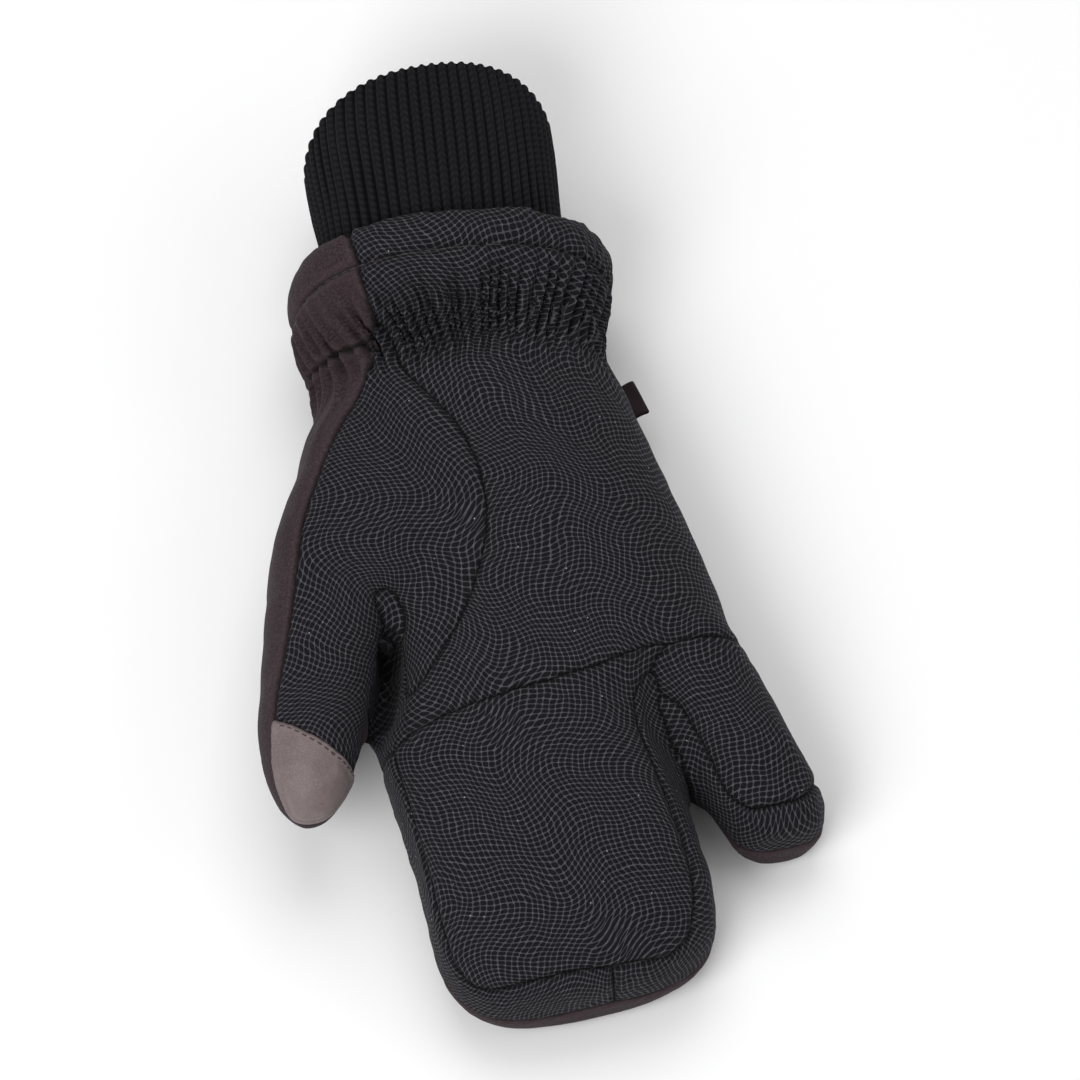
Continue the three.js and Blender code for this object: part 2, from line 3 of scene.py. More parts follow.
import bmesh
import bpy
import numpy as np
from mathutils import Matrix, Vector, noise
from mathutils.bvhtree import BVHTree
from mathutils.kdtree import KDTree


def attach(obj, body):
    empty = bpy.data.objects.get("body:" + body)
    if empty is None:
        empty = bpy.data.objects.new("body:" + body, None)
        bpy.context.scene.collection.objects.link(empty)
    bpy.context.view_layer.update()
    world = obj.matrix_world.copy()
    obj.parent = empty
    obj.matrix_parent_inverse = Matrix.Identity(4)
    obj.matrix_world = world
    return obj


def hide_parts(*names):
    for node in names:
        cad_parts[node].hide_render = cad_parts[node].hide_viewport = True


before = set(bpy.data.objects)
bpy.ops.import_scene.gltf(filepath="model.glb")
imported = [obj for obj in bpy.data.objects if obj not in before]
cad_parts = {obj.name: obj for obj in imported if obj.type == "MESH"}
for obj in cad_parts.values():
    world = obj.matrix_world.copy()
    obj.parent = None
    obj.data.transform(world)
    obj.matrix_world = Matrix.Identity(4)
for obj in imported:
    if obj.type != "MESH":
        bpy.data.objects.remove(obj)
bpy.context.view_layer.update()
bpy.ops.object.select_all(action="DESELECT")
scene = bpy.context.scene
scene.view_settings.view_transform = "Standard"
MM = 0.001

# The hand and gauntlet of the glove: softshell and printed stretch cloth over insulation and a
# lining, cut as flat panels, sewn wrong side out and turned. The padding pushes every panel out
# between its seams, and the back is flat where the glove lies on it.
SEWN = [
    "palm_panel", "thumb_palm_panel", "thumb_crotch_gusset", "mitten_palm_panel",
    "mitten_gusset_thumb_side", "mitten_gusset_finger_side", "finger_palm_panel", "finger_gusset",
    "cuff_back_panel", "thumb_back_panel", "finger_back_panel", "hand_back_panel", "thumb_tip_patch",
]
PATCH, CRESCENT = SEWN.index("thumb_tip_patch"), SEWN.index("thumb_crotch_gusset")
REMESH = 3.0 * MM
SEAM_CLOSING = 0.35 * MM
MOUTH = (73 * MM, 83 * MM)
PLUG_SHARE, PLUG_OVERLAP, PLUG_DEPTH = 0.955, 2 * MM, 3 * MM
MOUTH_DEPTH, MOUTH_RISE, MOUTH_SHARE, LEVEL_ENOUGH = 7 * MM, 1 * MM, 0.9, 0.75
PUFF_FRAMES = 20
PUFF_PRESSURE = 4
PUFF_LIMIT = 1.3 * MM
RESTING_HEIGHT = 0.15 * MM


def merged_copy(node):
    """A solid's triangles, joined where they meet."""
    shape = bmesh.new()
    shape.from_mesh(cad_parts[node].data)
    bmesh.ops.remove_doubles(shape, verts=shape.verts, dist=0.02 * MM)
    shape.normal_update()
    shape.verts.index_update()
    return shape


def new_piece(name, corners, faces):
    """A new object whose mesh is made of these corners and faces."""
    mesh = bpy.data.meshes.new(name)
    mesh.from_pydata([tuple(c) for c in corners], [], [tuple(f) for f in faces])
    piece = bpy.data.objects.new(name, mesh)
    scene.collection.objects.link(piece)
    return piece


def finish_modifier(piece, kind, **settings):
    """Adds a modifier to the piece and applies it."""
    modifier = piece.modifiers.new(kind.title(), kind)
    for key, value in settings.items():
        setattr(modifier, key, value)
    with bpy.context.temp_override(object=piece, active_object=piece):
        bpy.ops.object.modifier_apply(modifier=modifier.name)


def turn_outward(piece):
    """Turns every face of a closed piece outwards."""
    shape = bmesh.new()
    shape.from_mesh(piece.data)
    bmesh.ops.recalc_face_normals(shape, faces=shape.faces)
    shape.to_mesh(piece.data)
    shape.free()


def corners_of(mesh):
    points = np.zeros(len(mesh.vertices) * 3)
    mesh.vertices.foreach_get("co", points)
    return points.reshape(-1, 3)


def normals_of(mesh):
    normals = np.zeros(len(mesh.vertices) * 3)
    mesh.vertices.foreach_get("normal", normals)
    return normals.reshape(-1, 3)


def move_corners(mesh, points):
    mesh.vertices.foreach_set("co", points.astype(np.float32).ravel())
    mesh.update()


def edges_of(mesh):
    pairs = np.zeros(len(mesh.edges) * 2, np.int32)
    mesh.edges.foreach_get("vertices", pairs)
    return pairs.reshape(-1, 2)


def faces_of(mesh):
    corners = np.zeros(len(mesh.loops), np.int32)
    mesh.loops.foreach_get("vertex_index", corners)
    return corners.reshape(-1, 4)


def faces_beside(quads):
    """The one or two faces at every edge, by the edge's two corners."""
    beside = {}
    for number, q in enumerate(quads):
        for a, b in zip(q, np.roll(q, -1)):
            beside.setdefault((min(a, b), max(a, b)), []).append(number)
    return beside


def mean_of_neighbours(points, pairs):
    """The middle of the points that each point is joined to, and how many they are."""
    total = np.zeros_like(points)
    count = np.bincount(pairs.ravel(), minlength=len(points)).astype(float)
    for axis in range(3):
        total[:, axis] = np.bincount(pairs[:, 0], points[pairs[:, 1], axis], len(points))
        total[:, axis] += np.bincount(pairs[:, 1], points[pairs[:, 0], axis], len(points))
    return total / np.maximum(count, 1)[:, None], count


def relax(points, pairs, turns, strength, chosen, backward=0.0):
    """Evens out the chosen points; a backward step between keeps their size."""
    for _ in range(turns):
        for step in (strength, backward):
            if step:
                middle, count = mean_of_neighbours(points, pairs)
                weight = (step * chosen * (count > 0))[:, None]
                points = points + weight * (middle - points)
    return points


corners, faces, owners, grown = [], [], [], []
for number, node in enumerate(SEWN):
    shape = merged_copy(node)
    first = len(corners)
    corners += [v.co.copy() for v in shape.verts]
    grown += [v.co + v.normal * SEAM_CLOSING for v in shape.verts]
    faces += [[first + v.index for v in f.verts] for f in shape.faces]
    owners += [number] * len(shape.faces)
    shape.free()
solids = BVHTree.FromPolygons(corners, faces)
owners = np.array(owners)

# A plug closes the gauntlet's mouth while the skin is made, and is taken out again afterwards.
mouth = [c for c in corners if MOUTH[0] < c.y < MOUTH[1]]
mouth_middle = Vector([(max(c[i] for c in mouth) + min(c[i] for c in mouth)) / 2 for i in range(3)])
plug = bmesh.new()
for c in mouth:
    for y in (MOUTH[0] - PLUG_OVERLAP, MOUTH[1] - PLUG_DEPTH):
        plug.verts.new((mouth_middle.x + PLUG_SHARE * (c.x - mouth_middle.x), y,
                        mouth_middle.z + PLUG_SHARE * (c.z - mouth_middle.z)))
hull = bmesh.ops.convex_hull(plug, input=plug.verts)
bmesh.ops.delete(plug, geom=list({v for v in hull["geom_interior"] + hull["geom_unused"]
                                  if isinstance(v, bmesh.types.BMVert)}), context="VERTS")
plug.verts.index_update()
first = len(grown)
grown += [v.co.copy() for v in plug.verts]
faces += [[first + v.index for v in f.verts] for f in plug.faces]
plug.free()

skin = new_piece("skin", grown, faces)
finish_modifier(skin, "REMESH", mode="VOXEL", voxel_size=REMESH, adaptivity=0)


def keep_outer_shell(piece):
    """Leaves only the largest closed surface of the piece, and drops the hollows inside it."""
    body = bmesh.new()
    body.from_mesh(piece.data)
    seen, outer = set(), []
    for start in body.verts:
        if start.index in seen:
            continue
        island, waiting = [], [start]
        seen.add(start.index)
        while waiting:
            v = waiting.pop()
            island.append(v)
            for e in v.link_edges:
                w = e.other_vert(v)
                if w.index not in seen:
                    seen.add(w.index)
                    waiting.append(w)
        if len(island) > len(outer):
            outer = island
    kept = set(v.index for v in outer)
    bmesh.ops.delete(body, geom=[v for v in body.verts if v.index not in kept], context="VERTS")
    body.to_mesh(piece.data)
    body.free()


keep_outer_shell(skin)

# The cleft between the thumb and the palm's side wall runs down to the crotch: upright along the
# thumb, and leaning back under the palm, so that the dark side wall shows in it. Its rows hold a
# level along the hand and the sides of the thumb and of the palm there.
CLEFT_FOOT, CLEFT_RIM, CLEFT_TOP = 11.0, 38.0, 70.0
CLEFT_FOOT_WIDTH = 0.4
CLEFT = (
    (-20.5, -34.6, -33.9),
    (-22.5, -36.0, -32.4),
    (-25, -37.4, -31.4),
    (-29, -38.7, -30.8),
    (-35, -40.4, -31.6),
    (-41, -42.7, -32.7),
    (-49, -45.9, -35.2),
    (-58, -49.6, -40.0),
    (-64, -51.0, -43.0),
)
cut_corners, cut_faces = [], []
for y, thumb_x, palm_x in CLEFT:
    foot_x = thumb_x + CLEFT_FOOT_WIDTH
    lean = (palm_x - foot_x) / (CLEFT_RIM - CLEFT_FOOT)
    cut_corners += [(thumb_x, y, CLEFT_FOOT), (foot_x, y, CLEFT_FOOT),
                    (foot_x + lean * (CLEFT_TOP - CLEFT_FOOT), y, CLEFT_TOP), (thumb_x, y, CLEFT_TOP)]
for k in range(len(CLEFT) - 1):
    for side in range(4):
        a, b = 4 * k + side, 4 * k + (side + 1) % 4
        cut_faces.append((a, b, b + 4, a + 4))
cut_faces += [(3, 2, 1, 0), tuple(4 * len(CLEFT) - 4 + side for side in range(4))]
cleft = new_piece("cleft", [Vector(c) * MM for c in cut_corners], cut_faces)
turn_outward(cleft)
finish_modifier(skin, "BOOLEAN", operation="DIFFERENCE", object=cleft, solver="EXACT")
bpy.data.objects.remove(cleft)

# The gauntlet's thin edge goes in once more, so that the second remesh leaves it whole.
EDGE_FROM = 52 * MM
joined = bmesh.new()
joined.from_mesh(skin.data)
for node in ("palm_panel", "cuff_back_panel"):
    shape = merged_copy(node)
    for v in shape.verts:
        v.co += v.normal * SEAM_CLOSING
    bmesh.ops.bisect_plane(shape, geom=shape.verts[:] + shape.edges[:] + shape.faces[:],
                           plane_co=(0, EDGE_FROM, 0), plane_no=(0, 1, 0), clear_inner=True)
    bmesh.ops.holes_fill(shape, edges=[e for e in shape.edges if e.is_boundary], sides=0)
    bmesh.ops.triangulate(shape, faces=shape.faces)
    band = bpy.data.meshes.new("band")
    shape.to_mesh(band)
    shape.free()
    joined.from_mesh(band)
    bpy.data.meshes.remove(band)
joined.to_mesh(skin.data)
joined.free()
finish_modifier(skin, "REMESH", mode="VOXEL", voxel_size=REMESH, adaptivity=0)
keep_outer_shell(skin)
body = bmesh.new()
body.from_mesh(skin.data)
mouth_half = (max(c.x for c in mouth) - mouth_middle.x, max(c.z for c in mouth) - mouth_middle.z)


def across_mouth(point):
    """How far out from the middle of the mouth a point is: 1 is the gauntlet's own size."""
    return math.hypot((point.x - mouth_middle.x) / mouth_half[0], (point.z - mouth_middle.z) / mouth_half[1])


inside = []
for f in body.faces:
    middle = f.calc_center_median()
    at_mouth = MOUTH[1] - MOUTH_DEPTH < middle.y < MOUTH[1] + MOUTH_RISE
    if at_mouth and f.normal.y > LEVEL_ENOUGH and across_mouth(middle) < MOUTH_SHARE:
        inside.append(f)
bmesh.ops.delete(body, geom=inside, context="FACES")
loose = [v for v in body.verts if not v.link_faces]
bmesh.ops.delete(body, geom=loose, context="VERTS")
body.to_mesh(skin.data)
body.free()


def owner_of(points):
    """Which panel each point lies on."""
    return np.array([owners[solids.find_nearest(Vector(p))[2]] for p in points])


points, pairs = corners_of(skin.data), edges_of(skin.data)
open_edge = np.zeros(len(points), bool)
for (a, b), both in faces_beside(faces_of(skin.data)).items():
    if len(both) == 1:
        open_edge[[a, b]] = True
points = relax(points, pairs, 8, 0.5, 1.0 - open_edge, backward=-0.52)
move_corners(skin.data, points)

panel_of_corner = owner_of(points)
on_seam = np.zeros(len(points), bool)
crossing = panel_of_corner[pairs[:, 0]] != panel_of_corner[pairs[:, 1]]
on_seam[pairs[crossing].ravel()] = True
held = skin.vertex_groups.new(name="held")
held.add([int(i) for i in np.nonzero(on_seam | open_edge)[0]], 1.0, "REPLACE")
cloth = skin.modifiers.new("Cloth", "CLOTH")
cloth.settings.quality = 4
cloth.settings.mass = 0.2
cloth.settings.use_pressure = True
cloth.settings.uniform_pressure_force = PUFF_PRESSURE
cloth.settings.effector_weights.gravity = 0
cloth.settings.vertex_group_mass = "held"
cloth.point_cache.frame_start = 1
cloth.point_cache.frame_end = PUFF_FRAMES
for number in range(1, PUFF_FRAMES + 1):
    scene.frame_set(number)
swollen = skin.evaluated_get(bpy.context.evaluated_depsgraph_get()).to_mesh()
move = corners_of(swollen) - points
skin.modifiers.remove(cloth)
skin.vertex_groups.clear()
scene.frame_set(1)
far = np.linalg.norm(move, axis=1)
move *= np.minimum(1, PUFF_LIMIT / np.maximum(far, 1e-9))[:, None]
for _ in range(2):
    middle, count = mean_of_neighbours(move, pairs)
    move = np.where((on_seam | open_edge)[:, None], move, 0.5 * (move + middle))
points = points + move
points[:, 2] = np.maximum(points[:, 2], RESTING_HEIGHT)
move_corners(skin.data, points)
finish_modifier(skin, "SUBSURF", levels=1, render_levels=1)

# Each panel's cut: every face of the skin goes to the panel it lies on, and the cut edges are
# then drawn out into even curves, as the cutter's shears leave them.
SCRAP_FACES = 70
CRESCENT_WEIGHT = 1.5
points, pairs, quads = corners_of(skin.data), edges_of(skin.data), faces_of(skin.data)
panel = owner_of(points[quads].mean(axis=1))
face_of_edge = faces_beside(quads)
beside = [[] for _ in quads]
for both in face_of_edge.values():
    if len(both) == 2:
        beside[both[0]].append(both[1])
        beside[both[1]].append(both[0])
for _ in range(5):
    before = panel.copy()
    for number, others in enumerate(beside):
        votes = [before[o] for o in others]
        most = max(set(votes), key=votes.count)
        if most != before[number] and votes.count(most) >= 3:
            panel[number] = most
neighbours = np.array([(o + [n] * 4)[:4] for n, o in enumerate(beside)])
share = np.eye(len(SEWN))[panel]
for _ in range(4):
    share = 0.4 * share + 0.6 * share[neighbours].mean(axis=1)
share[:, CRESCENT] *= CRESCENT_WEIGHT
panel = share.argmax(axis=1)
seen = np.zeros(len(quads), bool)
for start in range(len(quads)):
    if seen[start]:
        continue
    island, waiting, border = [], [start], []
    seen[start] = True
    while waiting:
        f = waiting.pop()
        island.append(f)
        for o in beside[f]:
            if panel[o] != panel[start]:
                border.append(panel[o])
            elif not seen[o]:
                seen[o] = True
                waiting.append(o)
    if len(island) < SCRAP_FACES and panel[start] != CRESCENT and border:
        panel[island] = max(set(border), key=border.count)

keys = [tuple(sorted(p)) for p in pairs.tolist()]
is_cut = np.array([len(face_of_edge[k]) == 2 and panel[face_of_edge[k][0]] != panel[face_of_edge[k][1]]
                   for k in keys])
is_open = np.array([len(face_of_edge[k]) == 1 for k in keys])
cut_uses = np.bincount(pairs[is_cut].ravel(), minlength=len(points))
open_edge = np.bincount(pairs[is_open].ravel(), minlength=len(points)) > 0
on_cut = cut_uses > 0
along_cut = ((cut_uses >= 2) & ~open_edge) * np.where(cut_uses > 2, 0.3, 1.0)
points = relax(points, pairs[is_cut], 24, 0.5, along_cut)
points = relax(points, pairs, 5, 0.4, (~on_cut & ~open_edge).astype(float), backward=-0.3)
move_corners(skin.data, points)
skin.data.polygons.foreach_set("material_index", panel.astype(np.int32))
skin.data.edges.foreach_set("use_seam", is_cut)

# The print and the weave run along each panel as it was cut, so each panel is laid flat, in
# millimetres, with the hand's length upwards.
ALONG = {"thumb_palm_panel": (-0.35, 0.94, 0), "thumb_back_panel": (-0.35, 0.94, 0)}
APART = (37, 11)
bpy.context.view_layer.objects.active = skin
skin.select_set(True)
bpy.ops.object.mode_set(mode="EDIT")
bpy.ops.mesh.select_all(action="SELECT")
bpy.ops.uv.unwrap(method="MINIMUM_STRETCH", iterations=8, margin=0.001)
bpy.ops.object.mode_set(mode="OBJECT")
skin.select_set(False)
layer = skin.data.uv_layers.active
flat = np.zeros(len(skin.data.loops) * 2)
layer.data.foreach_get("uv", flat)
flat = flat.reshape(-1, 4, 2)
face_normals = np.zeros(len(quads) * 3)
skin.data.polygons.foreach_get("normal", face_normals)
face_normals = face_normals.reshape(-1, 3)


def quad_area(q):
    one, two = q[:, 2] - q[:, 0], q[:, 3] - q[:, 1]
    return 0.5 * np.abs(one[:, 0] * two[:, 1] - one[:, 1] * two[:, 0])


areas = np.zeros(len(quads))
skin.data.polygons.foreach_get("area", areas)
for number, name in enumerate(SEWN):
    mine = panel == number
    if not mine.any():
        continue
    outward = Vector(face_normals[mine].mean(axis=0)).normalized()
    up = Vector(ALONG.get(name, (0, 1, 0)))
    up = (up - outward * up.dot(outward)).normalized()
    side = up.cross(outward)
    places = points[quads[mine]] / MM
    target = places @ np.array(side) + 1j * (places @ np.array(up))
    drawn = flat[mine][..., 0] + 1j * flat[mine][..., 1]
    drawn, target = drawn - drawn.mean(), target - target.mean()
    turn = (np.conj(drawn) * target).sum()
    turn /= max(abs(turn), 1e-12)
    size = math.sqrt(areas[mine].sum() / quad_area(flat[mine]).sum()) / MM
    drawn = drawn * turn * size
    flat[mine] = np.stack([drawn.real + APART[0] * number, drawn.imag + APART[1] * number], axis=-1)
layer.data.foreach_set("uv", flat.astype(np.float32).ravel())
finish_modifier(skin, "SUBSURF", levels=1, render_levels=1)

# Sewing: the thread pulls the cloth into a groove at each seam and puckers it beside. The elastic
# at the wrist gathers the cloth into upright folds that fade into the palm and the gauntlet, and
# a line of stitching holds the gauntlet's turned hem.
GROOVE = (0.7, 0.85)
ROLL, ROLL_FROM_SEAM = (0.16, 1.4), 2.3
PUCKER, PUCKER_PITCH, PUCKER_REACH = 0.42, 3.4, 4.5
SOFT_DENTS, DENT_PITCH = 0.55, 17.0
WRIST_LINE = 60.5
WAIST = (1.1, 6)
GATHERS = 58
GATHER_HEIGHT = 1.7
PALM_FADE, GAUNTLET_FADE = (8, 0.22, 18), (12, 0.15, 10)
HEM_DEPTH = 12.0
HEM_SAMPLES, HEM_FROM = 180, 75
HEM_GROOVE, HEM_ROLL, HEM_SWELL, SWELL_BELOW = (1.5, 1.1), (0.7, 4.0), (0.35, 2.0), 3.2
points, pairs, quads = corners_of(skin.data), edges_of(skin.data), faces_of(skin.data)
panel = np.zeros(len(quads), np.int32)
skin.data.polygons.foreach_get("material_index", panel)
flat = np.zeros(len(skin.data.loops) * 2)
skin.data.uv_layers.active.data.foreach_get("uv", flat)
flat = flat.reshape(-1, 4, 2)
low_panel = np.full(len(points), 99)
high_panel = np.full(len(points), -1)
for column in range(4):
    np.minimum.at(low_panel, quads[:, column], panel)
    np.maximum.at(high_panel, quads[:, column], panel)
sewn_edge = low_panel != high_panel
patch_edge = sewn_edge & (high_panel == PATCH)
seam_points = KDTree(int((sewn_edge & ~patch_edge).sum()))
for number, p in enumerate(points[sewn_edge & ~patch_edge]):
    seam_points.insert(p, number)
seam_points.balance()
seam_and_shade_distance = np.array([seam_points.find(p)[2] for p in points]) / MM

sewn_pairs = pairs[sewn_edge[pairs].all(axis=1)]
along_seam = (np.bincount(sewn_pairs.ravel(), minlength=len(points)) == 2) * 1.0
points = relax(points, sewn_pairs, 8, 0.5, along_seam)
move_corners(skin.data, points)
normals = normals_of(skin.data)


def swell(distance, size, width):
    """A rounded rise of this size and width where the distance is nothing."""
    return size * np.exp(-(distance / width) ** 2)


def smooth_round(values, waves):
    """Values round a ring with only their few longest waves kept."""
    spectrum = np.fft.rfft(values)
    spectrum[waves:] = 0
    return np.fft.irfft(spectrum, len(values))


# The cleft beside the thumb is sharp at its foot, and its wall is painted dark with shade.
CLEFT_LINE = ((20.5, 28.8, 37.8, 45.4, 52), (-35.0, -36.4, -38.6, -41.6, -44.5))
CLEFT_REACH = ((20, 24, 48, 55), (0, 1, 1, 0))
CLEFT_DEPTH, CLEFT_WIDTH, CLEFT_WALL, UNDER_SKIN = 2.5, 2.2, 2.5, 0.6
where = points / MM
beside_cleft = where[:, 0] - np.interp(-where[:, 1], *CLEFT_LINE)
sink = swell(beside_cleft, CLEFT_DEPTH, CLEFT_WIDTH) * np.interp(-where[:, 1], *CLEFT_REACH)
sink *= np.clip((where[:, 2] - 18) / 5, 0, 1) * (normals[:, 2] > 0.05)
unsunk = BVHTree.FromPolygons([Vector(p) for p in points], quads.tolist())
for number in np.nonzero(sink > 0.2)[0]:
    under = Vector(points[number]) - Vector((0, 0, UNDER_SKIN * MM))
    below = unsunk.ray_cast(under, Vector((0, 0, -1)))[3]
    sink[number] = min(sink[number], max(0, (below or 0) / MM + UNDER_SKIN - CLEFT_WALL))
for _ in range(3):
    sink = 0.5 * sink + 0.5 * mean_of_neighbours(sink[:, None] * np.ones(3), pairs)[0][:, 0]
points[:, 2] -= sink * MM
where = points / MM
# Painted shade: over the cleft's wall the seam distance is made small, so the seam shading paints the wall
# dark.
painted_wall_shade = np.exp(-((beside_cleft - 1.5) / 4.0) ** 4) * np.interp(-where[:, 1], *CLEFT_REACH)
painted_wall_shade *= np.clip((42.5 - where[:, 2]) / 5, 0, 1) * (where[:, 2] > 12)
seam_and_shade_distance = np.minimum(seam_and_shade_distance, 0.25 + 1.9 * (1 - painted_wall_shade) + 20 * (painted_wall_shade < 0.05))
move_corners(skin.data, points)
normals = normals_of(skin.data)
around = np.arctan2(points[:, 2] - mouth_middle.z, points[:, 0] - mouth_middle.x)
turns = around / (2 * math.pi)
hem_line = np.full(HEM_SAMPLES, -1e9)
place = ((turns + 0.5) * HEM_SAMPLES).astype(int) % HEM_SAMPLES
by_hem = where[:, 1] > HEM_FROM
np.maximum.at(hem_line, place[by_hem], where[by_hem, 1])
hem_line = smooth_round(hem_line, 4)


def hem_level(share):
    """How far along the hand the hem lies, at a share of the way round the gauntlet."""
    return np.interp(share, (np.arange(HEM_SAMPLES) + 0.5) / HEM_SAMPLES, hem_line)


from_hem = hem_level(turns + 0.5) - where[:, 1]

height = np.zeros(len(points))
height -= swell(seam_and_shade_distance, *GROOVE)
height += swell(seam_and_shade_distance - ROLL_FROM_SEAM, *ROLL)
resting = np.clip((where[:, 2] - 2.0) / 4.0, 0, 1)


def rough(point, pitch, seed):
    """A smooth random height between about -1 and 1."""
    return noise.noise(Vector(point) / pitch + Vector((seed, 0, 0)))


pucker = np.array([rough(p, PUCKER_PITCH, 3.1) for p in where])
height += PUCKER * pucker * np.exp(-seam_and_shade_distance / PUCKER_REACH) * np.clip(seam_and_shade_distance / 1.2, 0, 1)
dents = np.array([rough((p[0], 1.7 * p[1], p[2]), DENT_PITCH, 7.7) for p in where])
height += SOFT_DENTS * dents * np.clip(seam_and_shade_distance / 6, 0, 1) * resting

along_wrist = where[:, 1] - WRIST_LINE
fold_drift = np.array([rough((9 * math.cos(a), s / 11, 9 * math.sin(a)), 1.6, 5.5)
                       for a, s in zip(around, along_wrist)])
fold_size = np.array([rough((14 * math.cos(a), s / 16, 14 * math.sin(a)), 1.3, 15.5)
                      for a, s in zip(around, along_wrist)])
fold = np.cos(2 * math.pi * GATHERS * turns + 3.2 * fold_drift)
fold = np.sign(fold) * np.abs(fold) ** 0.8


def gather_fade(core, tail_share, tail):
    """How strong the gathers are at each distance from the elastic."""
    return np.exp(-(along_wrist / core) ** 2) + tail_share * np.exp(-np.abs(along_wrist) / tail)


fade = np.where(along_wrist < 0, gather_fade(*PALM_FADE), gather_fade(*GAUNTLET_FADE))
height += GATHER_HEIGHT * fold * fade * (0.95 + 0.6 * fold_size) * (along_wrist > -60)
height -= swell(along_wrist, *WAIST)
height -= swell(from_hem - HEM_DEPTH, *HEM_GROOVE)
height += swell(from_hem - HEM_DEPTH / 2, *HEM_ROLL)
height += swell(from_hem - HEM_DEPTH - SWELL_BELOW, *HEM_SWELL)
height *= np.clip(resting + 0.15, 0, 1)
height -= 0.35
# The hem's stitch line gets a small seam distance too, so painted shade darkens its groove.
by_stitches = 0.2 + 0.9 * np.abs(from_hem - HEM_DEPTH) + 9.0 * (along_wrist < 0)
seam_and_shade_distance = np.minimum(seam_and_shade_distance, by_stitches)
points = points + normals * height[:, None] * MM
points[:, 2] = np.maximum(points[:, 2], RESTING_HEIGHT)
move_corners(skin.data, points)
normals = normals_of(skin.data)
sewn_surface = BVHTree.FromPolygons([Vector(p) for p in points], quads.tolist())

# Cloth finishes. A fine knitted face shows as grain in every cloth, and dust and painted shade
# darken the cloth along the seams.
SEAM_SHADE_NAME = "seam_and_shade_distance"


def colour(red, green, blue):
    """A colour as it is read off a screen, made linear."""
    return tuple(((c / 255 + 0.055) / 1.055) ** 2.4 if c > 10 else c / 255 / 12.92
                 for c in (red, green, blue)) + (1.0,)


def maths(tree, operation, *values):
    """A sum worked out from numbers and sockets."""
    node = tree.nodes.new("ShaderNodeMath")
    node.operation = operation
    for socket, value in zip(node.inputs, values):
        if isinstance(value, (int, float)):
            socket.default_value = value
        else:
            tree.links.new(value, socket)
    return node.outputs[0]


def product(tree, *values):
    return maths(tree, "MULTIPLY", *values)


def total(tree, *values):
    return maths(tree, "ADD", *values)


def from_middle(tree, value):
    """How far a value is from the middle of the repeat that it lies in."""
    return maths(tree, "ABSOLUTE", maths(tree, "SUBTRACT", maths(tree, "FRACT", value), 0.5))


def texture(tree, kind, vector, **values):
    node = tree.nodes.new(kind)
    tree.links.new(vector, node.inputs["Vector"])
    for key, value in values.items():
        node.inputs[key.replace("_", " ")].default_value = value
    return node


def fade_between(tree, value, low, high, to_low=0.0, to_high=1.0):
    node = tree.nodes.new("ShaderNodeMapRange")
    node.interpolation_type = "SMOOTHSTEP"
    tree.links.new(value, node.inputs["Value"])
    for key, number in (("From Min", low), ("From Max", high), ("To Min", to_low), ("To Max", to_high)):
        node.inputs[key].default_value = number
    return node.outputs["Result"]


def mix_colours(tree, share, one, two):
    node = tree.nodes.new("ShaderNodeMix")
    node.data_type = "RGBA"
    sockets = [s for s in node.inputs if s.enabled]
    for socket, value in zip(sockets, (share, one, two)):
        if isinstance(value, (int, float, tuple)):
            socket.default_value = value
        else:
            tree.links.new(value, socket)
    return [s for s in node.outputs if s.enabled][0]


def new_group(name, inputs, outputs):
    """An empty node group with its named inputs and outputs."""
    tree = bpy.data.node_groups.new(name, "ShaderNodeTree")
    for key, kind, value in inputs:
        socket = tree.interface.new_socket(name=key, in_out="INPUT", socket_type=kind)
        if value is not None:
            socket.default_value = value
    for key, kind in outputs:
        tree.interface.new_socket(name=key, in_out="OUTPUT", socket_type=kind)
    return tree, tree.nodes.new("NodeGroupInput").outputs, tree.nodes.new("NodeGroupOutput").inputs


NUMBER, ARROW = "NodeSocketFloat", "NodeSocketVector"
knit_face, given, result = new_group(
    "knit_face", [("Vector", ARROW, None), ("Pitch", NUMBER, 0.5)],
    [("Grain", NUMBER), ("Height", NUMBER), ("Cloud", NUMBER)])
scaled = knit_face.nodes.new("ShaderNodeVectorMath")
scaled.operation = "SCALE"
knit_face.links.new(given["Vector"], scaled.inputs[0])
knit_face.links.new(maths(knit_face, "DIVIDE", 1.0, given["Pitch"]), scaled.inputs["Scale"])
fine = texture(knit_face, "ShaderNodeTexNoise", scaled.outputs[0], Scale=0.9, Detail=2.0, Roughness=0.7)
loops = texture(knit_face, "ShaderNodeTexVoronoi", scaled.outputs[0], Scale=1.0, Randomness=0.75)
cloud = texture(knit_face, "ShaderNodeTexNoise", given["Vector"], Scale=0.06, Detail=3.0, Roughness=0.6)
grain = total(knit_face, product(knit_face, fine.outputs[0], 0.65),
              product(knit_face, loops.outputs["Distance"], 0.45))
knit_face.links.new(fade_between(knit_face, grain, 0.3, 0.85), result["Grain"])
knit_face.links.new(grain, result["Height"])
knit_face.links.new(cloud.outputs[0], result["Cloud"])

# Shade is painted shade with dust, darkening the cloth near the seams; Rub is paler wear beside them.
seam_shade, given, result = new_group(
    "seam_shade", [("Width", NUMBER, 1.2)], [("Shade", NUMBER), ("Rub", NUMBER)])
distance = seam_shade.nodes.new("ShaderNodeAttribute")
distance.attribute_name = SEAM_SHADE_NAME
ratio = maths(seam_shade, "DIVIDE", distance.outputs["Fac"], given["Width"])
seam_shade.links.new(fade_between(seam_shade, ratio, 0.15, 1.3, 1.0, 0.0), result["Shade"])
seam_shade.links.new(fade_between(seam_shade, ratio, 1.2, 3.2, 1.0, 0.0), result["Rub"])


def place_group(tree, group, **values):
    node = tree.nodes.new("ShaderNodeGroup")
    node.node_tree = group
    for key, value in values.items():
        if isinstance(value, (int, float)):
            node.inputs[key].default_value = value
        else:
            tree.links.new(value, node.inputs[key])
    return node.outputs


